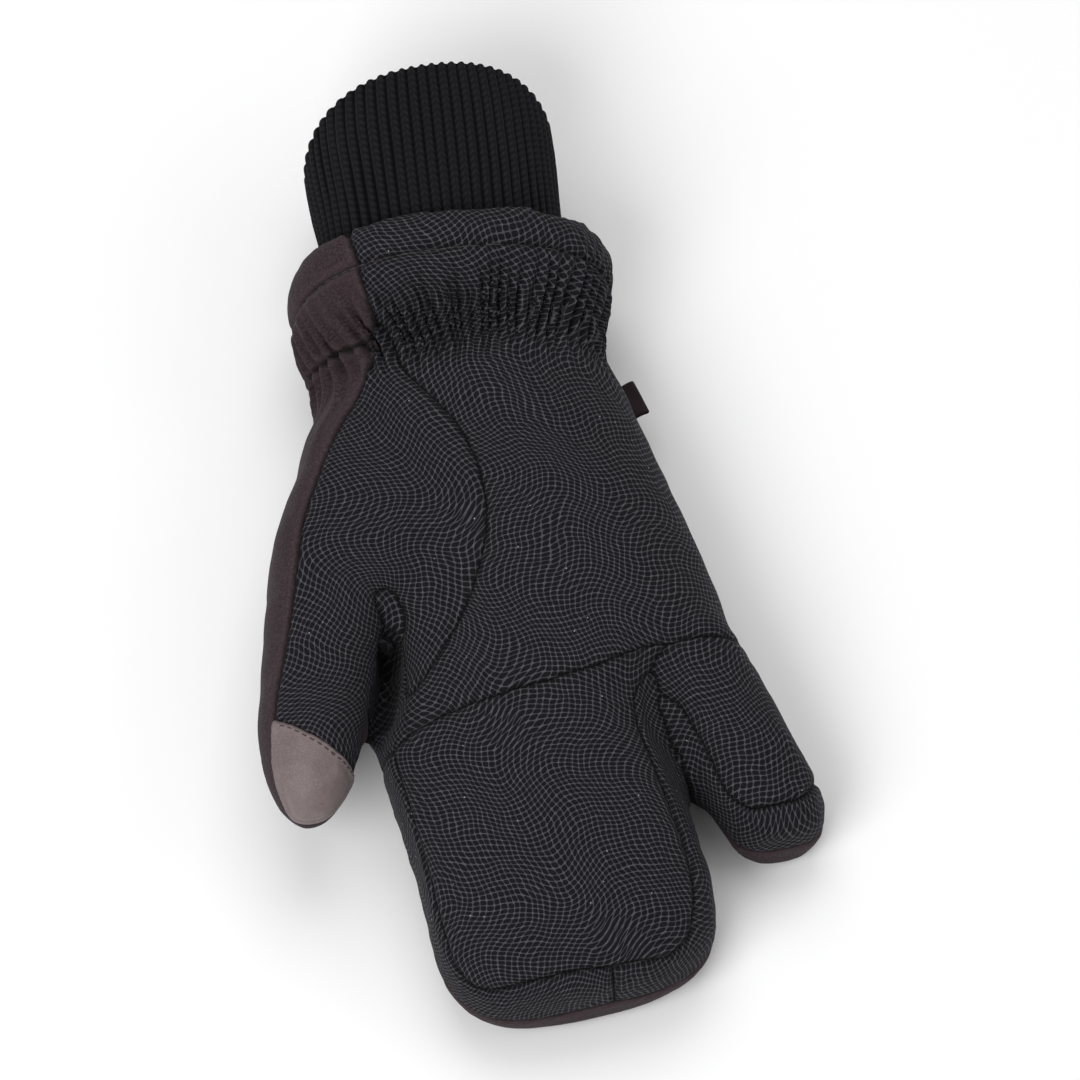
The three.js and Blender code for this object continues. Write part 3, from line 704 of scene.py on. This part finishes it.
def new_finish(name, roughness, sheen, gloss=0.06):
    """A cloth material with its plain shader, its flat coordinates and its node tree."""
    finish = bpy.data.materials.new(name)
    finish.use_nodes = True
    tree = finish.node_tree
    shader = tree.nodes["Principled BSDF"]
    shader.inputs["Roughness"].default_value = roughness
    shader.inputs["Specular IOR Level"].default_value = gloss
    shader.inputs["Sheen Weight"].default_value = sheen
    shader.inputs["Sheen Roughness"].default_value = 0.55
    flat_place = tree.nodes.new("ShaderNodeUVMap")
    flat_place.uv_map = "flat"
    return finish, tree, shader, flat_place.outputs[0]


def add_relief(tree, shader, value, depth):
    bump = tree.nodes.new("ShaderNodeBump")
    bump.inputs["Distance"].default_value = depth * MM
    bump.inputs["Strength"].default_value = 1.0
    tree.links.new(value, bump.inputs["Height"])
    tree.links.new(bump.outputs[0], shader.inputs["Normal"])


# Printed stretch cloth of the palm, the thumb's and fingers' front and the gussets: a near black
# knit with a fine pale net printed on it, whose rows and columns swing in waves. A wave runs along
# one axis and swings across the other, and has a swing, a length and a start.
CELL = (1.8, 1.5)
HOLE_SQUARENESS = 3.0
WAVES = (
    (1, 0, ((4.6, 66, 0.0), (1.5, 29, 1.7))),
    (0, 1, ((3.4, 54, 0.9), (1.2, 24, 2.2))),
)
printed, tree, shader, flat_place = new_finish("net_print_stretch_cloth", 0.72, 0.02)
slow = texture(tree, "ShaderNodeTexNoise", flat_place, Scale=0.032, Detail=1.0)
quick_wave = texture(tree, "ShaderNodeTexNoise", flat_place, Scale=0.21, Detail=0.0)


def centred(node, size):
    shift = tree.nodes.new("ShaderNodeVectorMath")
    shift.operation = "SUBTRACT"
    tree.links.new(node.outputs["Color"], shift.inputs[0])
    shift.inputs[1].default_value = (0.5, 0.5, 0.5)
    grow = tree.nodes.new("ShaderNodeVectorMath")
    grow.operation = "SCALE"
    tree.links.new(shift.outputs[0], grow.inputs[0])
    grow.inputs["Scale"].default_value = size
    return grow.outputs[0]


def add_places(one, two):
    node = tree.nodes.new("ShaderNodeVectorMath")
    tree.links.new(one, node.inputs[0])
    tree.links.new(two, node.inputs[1])
    return node.outputs[0]


parts = tree.nodes.new("ShaderNodeSeparateXYZ")
tree.links.new(flat_place, parts.inputs[0])
waves = []
for along, across, runs in WAVES:
    swing = parts.outputs[across]
    for size, length, start in runs:
        bent = total(tree, product(tree, parts.outputs[along], 2 * math.pi / length),
                     product(tree, parts.outputs[across], 1.9 / length))
        swing = total(tree, swing, product(tree, maths(tree, "SINE", total(tree, bent, start)), size))
    waves.append(swing)
joined = tree.nodes.new("ShaderNodeCombineXYZ")
for socket, swing in zip(joined.inputs, waves):
    tree.links.new(swing, socket)
waved = add_places(add_places(joined.outputs[0], centred(slow, 9.0)), centred(quick_wave, 1.3))
parts = tree.nodes.new("ShaderNodeSeparateXYZ")
tree.links.new(waved, parts.inputs[0])
sides = []
for output, pitch in zip(parts.outputs, CELL):
    off_centre = from_middle(tree, maths(tree, "DIVIDE", output, pitch))
    sides.append(maths(tree, "POWER", off_centre, HOLE_SQUARENESS))
roundness = total(tree, sides[0], product(tree, sides[1], 1.08))
roundness = maths(tree, "POWER", roundness, 1 / HOLE_SQUARENESS)
line = fade_between(tree, roundness, 0.4, 0.5)
uneven = texture(tree, "ShaderNodeTexNoise", flat_place, Scale=0.55, Detail=2.0)
line = product(tree, line, fade_between(tree, uneven.outputs[0], 0.25, 0.7, 0.45, 1.0))
face = place_group(tree, knit_face, Vector=flat_place, Pitch=0.42)
dark = mix_colours(tree, face["Grain"], colour(13, 12, 16), colour(29, 28, 33))
paint = mix_colours(tree, product(tree, line, 0.95), dark, colour(80, 79, 84))
dots = texture(tree, "ShaderNodeTexVoronoi", flat_place, Scale=0.2, Randomness=1.0)
dots_on = fade_between(tree, dots.outputs["Distance"], 0.03, 0.055, 1.0, 0.0)
dot_draw = maths(tree, "FRACT", product(tree, dots.outputs["Color"], 7.0))
chosen_dots = maths(tree, "GREATER_THAN", dot_draw, 0.45)
paint = mix_colours(tree, product(tree, dots_on, chosen_dots), paint, colour(150, 148, 150))
# Painted shade with dust: the print turns near black along the seams, the hem's stitch line and the cleft's
# wall.
shade = place_group(tree, seam_shade, Width=0.8)
paint = mix_colours(tree, product(tree, shade["Shade"], 0.7), paint, colour(10, 8, 8))
tree.links.new(paint, shader.inputs["Base Color"])
tree.links.new(maths(tree, "SUBTRACT", 0.8, product(tree, line, 0.2)), shader.inputs["Roughness"])
relief = total(tree, product(tree, face["Height"], 0.5), product(tree, line, 0.45))
add_relief(tree, shader, relief, 0.16)

# Brown softshell of the back, the gauntlet's back and the thumb's outer side: a matt bonded knit
# with a fine speckle, a little paler where it rubs beside the seams.
brown, tree, shader, flat_place = new_finish("brown_bonded_knit", 0.85, 0.04)
face = place_group(tree, knit_face, Vector=flat_place, Pitch=0.62)
paint = mix_colours(tree, face["Grain"], colour(37, 28, 31), colour(66, 54, 58))
paint = mix_colours(tree, fade_between(tree, face["Cloud"], 0.35, 0.7, 0.0, 0.3), paint, colour(54, 45, 49))
shade = place_group(tree, seam_shade, Width=1.0)
paint = mix_colours(tree, product(tree, shade["Rub"], 0.12), paint, colour(96, 85, 88))
# Painted shade with dust darkens the brown along its seams.
paint = mix_colours(tree, product(tree, shade["Shade"], 0.8), paint, colour(24, 18, 17))
tree.links.new(paint, shader.inputs["Base Color"])
tree.links.new(fade_between(tree, face["Cloud"], 0.3, 0.7, 0.78, 0.92), shader.inputs["Roughness"])
add_relief(tree, shader, face["Height"], 0.14)

# Taupe patch on the thumb's tip: a smooth brushed cloth with a soft sheen, its edge turned under
# and sewn down over the thumb.
taupe, tree, shader, flat_place = new_finish("taupe_brushed_cloth", 0.5, 0.1, gloss=0.3)
face = place_group(tree, knit_face, Vector=flat_place, Pitch=0.3)
paint = mix_colours(tree, face["Grain"], colour(90, 77, 77), colour(126, 112, 112))
worn = fade_between(tree, face["Cloud"], 0.35, 0.65, 0.0, 0.35)
paint = mix_colours(tree, worn, paint, colour(130, 116, 115))
# Painted shade with dust darkens the patch towards its edge.
shade = place_group(tree, seam_shade, Width=0.8)
paint = mix_colours(tree, product(tree, shade["Shade"], 0.85), paint, colour(50, 40, 38))
tree.links.new(paint, shader.inputs["Base Color"])
tree.links.new(fade_between(tree, face["Cloud"], 0.3, 0.7, 0.48, 0.62), shader.inputs["Roughness"])
add_relief(tree, shader, face["Height"], 0.05)

# The panels themselves: each is outer cloth, insulation and lining in one thickness, closed at
# its seam allowance. The patch lies on the thumb a little proud of it.
THICKNESS = 2.0 * MM
CUT_GAP = 0.07 * MM
PATCH_RISE = 0.5 * MM
PATCH_FOLD, FOLD_MIDDLE = (0.45, 0.8), 0.8
PATCH_CREASE, CREASE_MIDDLE = (0.4, 0.7), 2.4
FINISHES = {
    "cuff_back_panel": brown, "thumb_back_panel": brown, "finger_back_panel": brown,
    "hand_back_panel": brown, "thumb_tip_patch": taupe,
}


def lay_flat(piece, places):
    """Gives the piece its flat layout, in millimetres: a place for each corner of each face."""
    layer = piece.data.uv_layers.new(name="flat")
    layer.data.foreach_set("uv", np.array(places, np.float32).ravel())


def smooth_faces(piece):
    piece.data.polygons.foreach_set("use_smooth", np.ones(len(piece.data.polygons), bool))


patch_points = KDTree(max(1, int(patch_edge.sum())))
for number, p in enumerate(points[patch_edge]):
    patch_points.insert(p, number)
patch_points.balance()
for number, name in enumerate(SEWN):
    mine = quads[panel == number]
    used, inverse = np.unique(mine.ravel(), return_inverse=True)
    mine = inverse.reshape(-1, 4)
    place = points[used].copy()
    distance = seam_and_shade_distance[used]
    if number == PATCH:
        distance = np.array([patch_points.find(p)[2] for p in points[used]]) / MM
        dent = np.array([rough(p, 6.0, 21.3) + 0.5 * rough(p, 2.7, 2.2) for p in where[used]])
        rise = PATCH_RISE / MM + swell(distance - FOLD_MIDDLE, *PATCH_FOLD)
        rise -= swell(distance - CREASE_MIDDLE, *PATCH_CREASE)
        rise += 0.6 * dent * np.clip((distance - 2) / 3, 0, 1)
        place += normals[used] * rise[:, None] * MM
    elif "thumb" in name:
        # Painted shade with dust: the thumb cloth is darkened beside the raised patch's edge, as at a seam.
        near_patch = np.array([patch_points.find(p)[2] for p in points[used]]) / MM
        distance = np.minimum(distance, near_patch * 1.6)
    edge = sewn_edge[used]
    links = np.concatenate([mine[:, [0, 1]], mine[:, [1, 2]], mine[:, [2, 3]], mine[:, [3, 0]]])
    middle, count = mean_of_neighbours(place, links)
    inward = middle - place
    inward /= np.maximum(np.linalg.norm(inward, axis=1), 1e-9)[:, None]
    place[edge] += inward[edge] * CUT_GAP
    piece = new_piece(name.replace("_panel", "") + "_cloth", place, mine)
    lay_flat(piece, flat[panel == number])
    seam = piece.data.attributes.new(SEAM_SHADE_NAME, "FLOAT", "POINT")
    seam.data.foreach_set("value", distance.astype(np.float32))
    finish_modifier(piece, "SOLIDIFY", thickness=THICKNESS, offset=-1, use_even_offset=False)
    smooth_faces(piece)
    piece.data.set_sharp_from_angle(angle=math.radians(65))
    finish = FINISHES.get(name, printed)
    piece.data.materials.clear()
    piece.data.materials.append(finish)
    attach(piece, "root")
    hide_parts(name)
bpy.data.objects.remove(skin)
patch_quads = quads[panel == PATCH]
patch_sides = faces_beside(patch_quads)
follow = {int(a): int(b) for q in patch_quads for a, b in zip(q, np.roll(q, -1))
          if len(patch_sides[(min(a, b), max(a, b))]) == 1}
on_print = {v for v in follow if low_panel[v] == SEWN.index("thumb_palm_panel")}
back = {b: a for a, b in follow.items()}
first = next(v for v in sorted(on_print) if back[v] not in on_print)
patch_line = [first]
while follow[patch_line[-1]] in on_print and len(patch_line) < len(follow):
    patch_line.append(follow[patch_line[-1]])

# Hem stitching round the gauntlet: short dark thread stitches in the groove that they pull.
STITCH = (2.5, 0.62, 0.42)
STITCH_PITCH = 3.3
HEM_ROUND = 285


def stitches(name, path, up, finish, size, sides=6, rings=5):
    """One small rounded stitch from each point of the path towards the next."""
    corners, faces = [], []
    for here, after, normal in zip(path, path[1:], up):
        ahead = (after - here).normalized()
        across = normal.cross(ahead).normalized()
        first = len(corners)
        middle = (here + after) / 2
        for ring in range(rings):
            angle = math.pi * (ring + 0.5) / rings
            reach, wide = -math.cos(angle) * size[0] / 2, math.sin(angle) ** 0.6
            for side in range(sides):
                turn = 2 * math.pi * side / sides
                corners.append(middle + MM * (ahead * reach + across * (size[1] / 2 * wide * math.cos(turn))
                                              + normal * (size[2] / 2 * wide * math.sin(turn))))
        for ring in range(rings - 1):
            for side in range(sides):
                a, b = first + ring * sides + side, first + ring * sides + (side + 1) % sides
                faces.append((a, b, b + sides, a + sides))
        faces.append([first + side for side in reversed(range(sides))])
        faces.append([first + (rings - 1) * sides + side for side in range(sides)])
    piece = new_piece(name, corners, faces)
    turn_outward(piece)
    smooth_faces(piece)
    piece.data.materials.append(finish)
    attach(piece, "root")


def on_surface(middle, outward, reach=0.2):
    """Where a line towards the middle first meets the sewn surface, and the normal there."""
    hit, normal, _, _ = sewn_surface.ray_cast(middle + outward * reach, -outward)
    return hit, normal


thread = bpy.data.materials.new("dark_thread")
thread.use_nodes = True
tree = thread.node_tree
shader = tree.nodes["Principled BSDF"]
shader.inputs["Roughness"].default_value = 0.6
place = tree.nodes.new("ShaderNodeTexCoord").outputs["Object"]
twist = texture(tree, "ShaderNodeTexNoise", place, Scale=2600.0, Detail=1.0)
paint = mix_colours(tree, twist.outputs[0], colour(20, 16, 17), colour(58, 50, 53))
tree.links.new(paint, shader.inputs["Base Color"])
add_relief(tree, shader, twist.outputs[0], 0.05)

path, up = [], []
count = int(HEM_ROUND / STITCH_PITCH)
for number in range(count + 1):
    share = number / count
    angle = 2 * math.pi * (share - 0.5)
    y = (hem_level(share % 1.0) - HEM_DEPTH) * MM
    outward = Vector((math.cos(angle), 0, math.sin(angle)))
    hit, normal = on_surface(Vector((mouth_middle.x, y, mouth_middle.z)), outward)
    if hit:
        path.append(hit - normal * 0.05 * MM)
        up.append(normal)
stitches("hem_stitching", path, up, thread, STITCH)

# The patch's upper edge is turned under and sewn down with a line of short dark stitches.
PATCH_STITCH = (1.6, 0.5, 0.35)
PATCH_STITCH_PITCH = 2.5
FOLD_WIDTH = 1.5
THREAD_RISE = 0.3 * MM
heart = points[patch_quads].mean(axis=(0, 1))
edge_path = []
for v in patch_line:
    normal = normals[v]
    inward = heart - points[v]
    inward -= normal * inward.dot(normal)
    inward /= np.linalg.norm(inward)
    hit, normal, _, _ = sewn_surface.find_nearest(Vector(points[v] + inward * FOLD_WIDTH * MM))
    edge_path.append((np.array(hit + normal * (PATCH_RISE + THREAD_RISE)), np.array(normal)))
lengths = [np.linalg.norm(b[0] - a[0]) for a, b in zip(edge_path, edge_path[1:])]
travel = np.append(0, np.cumsum(lengths)) / MM
path, up = [], []
for step in np.arange(0.8, travel[-1], PATCH_STITCH_PITCH):
    path.append(Vector([np.interp(step, travel, [e[0][i] for e in edge_path]) for i in range(3)]))
    up.append(Vector([np.interp(step, travel, [e[1][i] for e in edge_path]) for i in range(3)]).normalized())
stitches("patch_stitching", path, up, thread, PATCH_STITCH)

# Knit cuff: a black rib-knit tube, folded double at its rim and sewn in under the gauntlet. Its
# ribs stand close together with deep grooves between, and its rim is scalloped by them.
RIBS = 58
POINTS_ON_RIB = 9
RIB_DEPTH = 1.35
KNIT_WALL = 3.0
OUTER_ROWS, RIM_ROWS, INNER_ROWS = 96, 9, 46
INNER_REACH = 46.0
KNIT_START = 62.0
RIM_BACK, SCALLOP = 1.5, 0.9
RIB_ROUNDNESS, KNIT_PROUD = 0.55, 0.35
RIM_FROM, RIM_TO, RIM_STEP = 104.0, 152, 0.5
LEAST_RADIUS, RADIUS_JUMP = 12, 4
shape = merged_copy("knit_cuff")
knit_solid = BVHTree.FromBMesh(shape)
shape.free()
levels = np.arange(72, 110, 4.0)


def first_meeting(start, ahead):
    """How far along a line the knit's solid is first met, in millimetres."""
    return knit_solid.ray_cast(Vector(start) * MM, Vector(ahead))[3] / MM


middles = []
for y in levels:
    x = (first_meeting((-150, y, 28), (1, 0, 0)) - first_meeting((150, y, 28), (-1, 0, 0))) / 2
    z = (first_meeting((x, y, -50), (0, 0, 1)) - first_meeting((x, y, 150), (0, 0, -1))) / 2 + 50
    middles.append((x, z))
middles = np.array(middles)
slope_x = np.polyfit(levels, middles[:, 0], 1)
slope_z = np.polyfit(levels, middles[:, 1], 1)


def knit_middle(y):
    return Vector((np.polyval(slope_x, y), y, np.polyval(slope_z, y))) * MM


def knit_radius(angle, y):
    """How far out the solid's side is at this angle and level, or None above its rim."""
    outward = Vector((math.cos(angle), 0, math.sin(angle)))
    hit = knit_solid.ray_cast(knit_middle(y) + outward * 0.09, -outward)
    return None if hit[0] is None else 90 - hit[3] / MM


ANGLES = 120
rim_line = np.zeros(ANGLES)
for k in range(ANGLES):
    angle = 2 * math.pi * k / ANGLES
    y, last = RIM_FROM, None
    while y < RIM_TO:
        radius = knit_radius(angle, y)
        if radius is None or radius < LEAST_RADIUS:
            break
        if last and abs(radius - last) > RADIUS_JUMP:
            break
        last = radius
        y += RIM_STEP
    rim_line[k] = y - RIM_STEP


rim_line = smooth_round(rim_line, 4)
shares = np.linspace(0, 1, 13)
radii = np.zeros((len(shares), ANGLES))
for j, share in enumerate(shares):
    for k in range(ANGLES):
        y = KNIT_START + share * (rim_line[k] - RIM_BACK - KNIT_START)
        radius = knit_radius(2 * math.pi * k / ANGLES, y)
        radii[j, k] = radius if radius else radii[j - 1, k]
    radii[j] = smooth_round(radii[j], 9)
around_count = RIBS * POINTS_ON_RIB
angles = 2 * math.pi * np.arange(around_count) / around_count
ring_place = np.arange(around_count) / around_count * ANGLES


def round_value(values, place):
    return np.interp(place, np.arange(ANGLES + 1), np.append(values, values[0]))


rim_here = round_value(rim_line, ring_place)
rows, along = [], []
for row in range(OUTER_ROWS + RIM_ROWS + INNER_ROWS):
    if row < OUTER_ROWS:
        share, depth_in, over = row / (OUTER_ROWS - 1), 0.0, 0.0
    elif row < OUTER_ROWS + RIM_ROWS:
        bend = math.pi * (row - OUTER_ROWS + 1) / (RIM_ROWS + 1)
        share, depth_in, over = 1.0, KNIT_WALL / 2 * (1 - math.cos(bend)), KNIT_WALL / 2 * math.sin(bend)
    else:
        down = (row - OUTER_ROWS - RIM_ROWS) / (INNER_ROWS - 1) * INNER_REACH
        share, depth_in, over = None, KNIT_WALL, -down
    if share is None:
        y = rim_here + over - RIM_BACK
        shares_here = (y - KNIT_START) / (rim_here - KNIT_START)
    else:
        y = KNIT_START + share * (rim_here - RIM_BACK - KNIT_START) + over
        shares_here = np.full(around_count, share)
    index = np.clip(shares_here, 0, 1) * (len(shares) - 1)
    low = np.minimum(index.astype(int), len(shares) - 2)
    low_radius = np.array([round_value(radii[i], p) for i, p in zip(low, ring_place)])
    high_radius = np.array([round_value(radii[i + 1], p) for i, p in zip(low, ring_place)])
    base = low_radius + (high_radius - low_radius) * (index - low)
    drift = np.array([noise.noise(Vector((5 * math.cos(a), 5 * math.sin(a), s * 3)))
                      for a, s in zip(angles, shares_here)])
    phase = RIBS * angles + 1.1 * drift + 0.8 * (shares_here - 0.5)
    rib = (0.5 + 0.5 * np.cos(phase)) ** RIB_ROUNDNESS
    rib_here = RIB_DEPTH * (0.85 + 0.35 * drift) * (0.8 if share is None else 1.0)
    sign = 1.0 if depth_in < KNIT_WALL / 2 else -1.0
    radius = base + KNIT_PROUD - depth_in - sign * rib_here * (1 - rib)
    y = y - (SCALLOP * (1 - rib) if over >= 0 and share == 1.0 else 0)
    centre_x, centre_z = np.polyval(slope_x, y), np.polyval(slope_z, y)
    ring = [centre_x + radius * np.cos(angles), y, centre_z + radius * np.sin(angles)]
    rows.append(np.stack(ring, axis=1))
    along.append(y.mean() if share is not None else 2 * rim_here.mean() - y.mean())
corners = np.concatenate(rows) * MM
corners[:, 2] = np.maximum(corners[:, 2], RESTING_HEIGHT)
faces, flat = [], []
for row in range(len(rows) - 1):
    for k in range(around_count):
        after = (k + 1) % around_count
        faces.append((row * around_count + k, (row + 1) * around_count + k,
                      (row + 1) * around_count + after, row * around_count + after))
        one, two = k / POINTS_ON_RIB, (k + 1) / POINTS_ON_RIB
        flat += [(one, along[row]), (one, along[row + 1]), (two, along[row + 1]), (two, along[row])]
knit = new_piece("knit_cuff_tube", corners, faces)
lay_flat(knit, flat)
shape = bmesh.new()
shape.from_mesh(knit.data)
bmesh.ops.recalc_face_normals(shape, faces=shape.faces)
test = max(shape.faces, key=lambda f: f.calc_center_median().z)
if test.normal.z < 0:
    bmesh.ops.reverse_faces(shape, faces=shape.faces)
shape.to_mesh(knit.data)
shape.free()
smooth_faces(knit)

KNIT_ROW = 1.75
rib_knit, tree, shader, flat_place = new_finish("black_wool_rib", 0.9, 0.02, gloss=0.04)
parts = tree.nodes.new("ShaderNodeSeparateXYZ")
tree.links.new(flat_place, parts.inputs[0])
side = from_middle(tree, total(tree, parts.outputs[0], 0.5))
slant = total(tree, maths(tree, "DIVIDE", parts.outputs[1], KNIT_ROW), product(tree, side, 1.2))
stitch = fade_between(tree, from_middle(tree, slant), 0.08, 0.42, 1.0, 0.0)
column = fade_between(tree, side, 0.02, 0.1)
loop = product(tree, stitch, column)
groove = fade_between(tree, side, 0.27, 0.48)
face = place_group(tree, knit_face, Vector=flat_place, Pitch=0.3)
place = tree.nodes.new("ShaderNodeTexCoord").outputs["Object"]
fuzz = texture(tree, "ShaderNodeTexNoise", place, Scale=2300.0, Detail=2.0)
paint = mix_colours(tree, loop, colour(20, 19, 21), colour(33, 32, 35))
paint = mix_colours(tree, product(tree, fuzz.outputs[0], 0.5), paint, colour(30, 29, 32))
# Painted shade: the grooves between the ribs are painted near black.
paint = mix_colours(tree, product(tree, groove, 0.85), paint, colour(5, 5, 6))
tree.links.new(paint, shader.inputs["Base Color"])
tree.links.new(fade_between(tree, fuzz.outputs[0], 0.3, 0.7, 0.82, 0.95), shader.inputs["Roughness"])
add_relief(tree, shader, total(tree, loop, product(tree, fuzz.outputs[0], 0.6)), 0.09)
knit.data.materials.append(rib_knit)
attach(knit, "root")
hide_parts("knit_cuff")

# Blank label: a short brown woven ribbon folded into a loop, its two ends caught in the side seam
# below the gauntlet. It carries nothing.
RIBBON = 0.42
FLAT_STEPS, FOLD_STEPS, RIBBON_COLUMNS = 5, 8, 15
shape = merged_copy("label_loop")
label_corners = np.array([v.co for v in shape.verts]) / MM
shape.free()
label_middle = (label_corners.min(0) + label_corners.max(0)) / 2
_, _, axes = np.linalg.svd(label_corners - label_corners.mean(0))
spans = [np.ptp(label_corners @ axes[i]) for i in range(3)]
long_axis, out_axis, thin_axis = [Vector(a) for a in axes]
if out_axis.x < 0:
    out_axis = -out_axis
thin_axis = long_axis.cross(out_axis)
half_long, half_out, half_thin = [s / 2 for s in spans]
half_thin = max(half_thin - RIBBON / 2, 0.25)
profile = [(-half_out, half_thin)]
for step in range(1, FLAT_STEPS + 1):
    profile.append((-half_out + step * (2 * half_out - half_thin) / FLAT_STEPS,
                    half_thin * (1 + 0.25 * math.sin(step))))
for step in range(1, FOLD_STEPS):
    angle = math.pi / 2 - math.pi * step / FOLD_STEPS
    profile.append((half_out - half_thin + half_thin * math.cos(angle), half_thin * math.sin(angle)))
for step in range(FLAT_STEPS + 1):
    profile.append((half_out - half_thin - step * (2 * half_out - half_thin) / FLAT_STEPS,
                    -half_thin * (1 + 0.2 * math.sin(step * 2))))
corners, faces = [], []
for k in range(RIBBON_COLUMNS):
    share = 2 * k / (RIBBON_COLUMNS - 1) - 1
    for out, thin in profile:
        curl = 0.25 * math.sin(2.2 * share + out)
        spot = Vector(label_middle) + long_axis * (share * half_long) + out_axis * out
        spot += thin_axis * (thin + curl)
        corners.append(spot * MM)
for k in range(RIBBON_COLUMNS - 1):
    for j in range(len(profile) - 1):
        a = k * len(profile) + j
        faces.append((a, a + 1, a + 1 + len(profile), a + len(profile)))
label = new_piece("label_ribbon_loop", corners, faces)
spots = [((v // len(profile)) * 2 * half_long / (RIBBON_COLUMNS - 1), (v % len(profile)) * 0.6)
         for v in range(len(corners))]
lay_flat(label, [spots[v] for f in faces for v in f])
finish_modifier(label, "SOLIDIFY", thickness=RIBBON * MM, offset=0)
finish_modifier(label, "SUBSURF", levels=1, render_levels=1)
smooth_faces(label)
ribbon, tree, shader, flat_place = new_finish("woven_ribbon", 0.7, 0.04)
parts = tree.nodes.new("ShaderNodeSeparateXYZ")
tree.links.new(flat_place, parts.inputs[0])
over_under = product(tree, maths(tree, "SINE", product(tree, parts.outputs[0], 18.0)),
                    maths(tree, "SINE", product(tree, parts.outputs[1], 18.0)))
weave = fade_between(tree, over_under, -0.6, 0.6)
tree.links.new(mix_colours(tree, weave, colour(34, 26, 29), colour(52, 42, 46)), shader.inputs["Base Color"])
tree.links.new(fade_between(tree, over_under, -1, 1, 0.6, 0.75), shader.inputs["Roughness"])
add_relief(tree, shader, weave, 0.06)
label.data.materials.append(ribbon)
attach(label, "root")
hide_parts("label_loop")

# A plain pale table under soft studio light, seen from the fingertips' side and well above.
TABLE_SIZE, ROOM_LIGHT = 8, 0.38
bpy.ops.mesh.primitive_plane_add(size=TABLE_SIZE, location=(0, 0, 0))
table_top = bpy.context.active_object
table_top.name = "table_top"
pale = bpy.data.materials.new("pale_table")
pale.use_nodes = True
pale.node_tree.nodes["Principled BSDF"].inputs["Base Color"].default_value = (0.93, 0.93, 0.93, 1)
pale.node_tree.nodes["Principled BSDF"].inputs["Roughness"].default_value = 0.8
table_top.data.materials.append(pale)
table_top.select_set(False)

room = bpy.data.worlds.new("studio")
room.use_nodes = True
room.node_tree.nodes["Background"].inputs["Color"].default_value = (1, 1, 1, 1)
room.node_tree.nodes["Background"].inputs["Strength"].default_value = ROOM_LIGHT
scene.world = room


def soft_light(name, place, size, power):
    lamp = bpy.data.objects.new(name, bpy.data.lights.new(name, "AREA"))
    lamp.data.size = size
    lamp.data.energy = power
    lamp.location = place
    lamp.rotation_euler = (-Vector(place)).to_track_quat("-Z", "Y").to_euler()
    scene.collection.objects.link(lamp)


soft_light("key", (-0.75, -0.75, 1.15), 0.9, 15)
soft_light("top", (0.1, 0.7, 1.3), 1.1, 8)
soft_light("right", (1.2, -0.1, 0.8), 0.9, 2.5)

RIGHT = Vector((0.980, -0.201, 0))
BACK = Vector((-0.0818, -0.3984, 0.9135)).normalized()
UP = BACK.cross(RIGHT).normalized()
LENS, SENSOR = 900, 36
VIEW_WIDTH = 0.3078
target = Vector((0.0153, 0.0030, 0.020))
camera = bpy.data.objects.new("camera", bpy.data.cameras.new("camera"))
camera.data.lens = LENS
camera.data.sensor_width = SENSOR
camera.data.clip_end = 50
camera.matrix_world = Matrix((
    (RIGHT.x, UP.x, BACK.x, 0), (RIGHT.y, UP.y, BACK.y, 0), (RIGHT.z, UP.z, BACK.z, 0), (0, 0, 0, 1)))
camera.location = target + BACK * (VIEW_WIDTH * LENS / SENSOR)
scene.collection.objects.link(camera)
scene.camera = camera
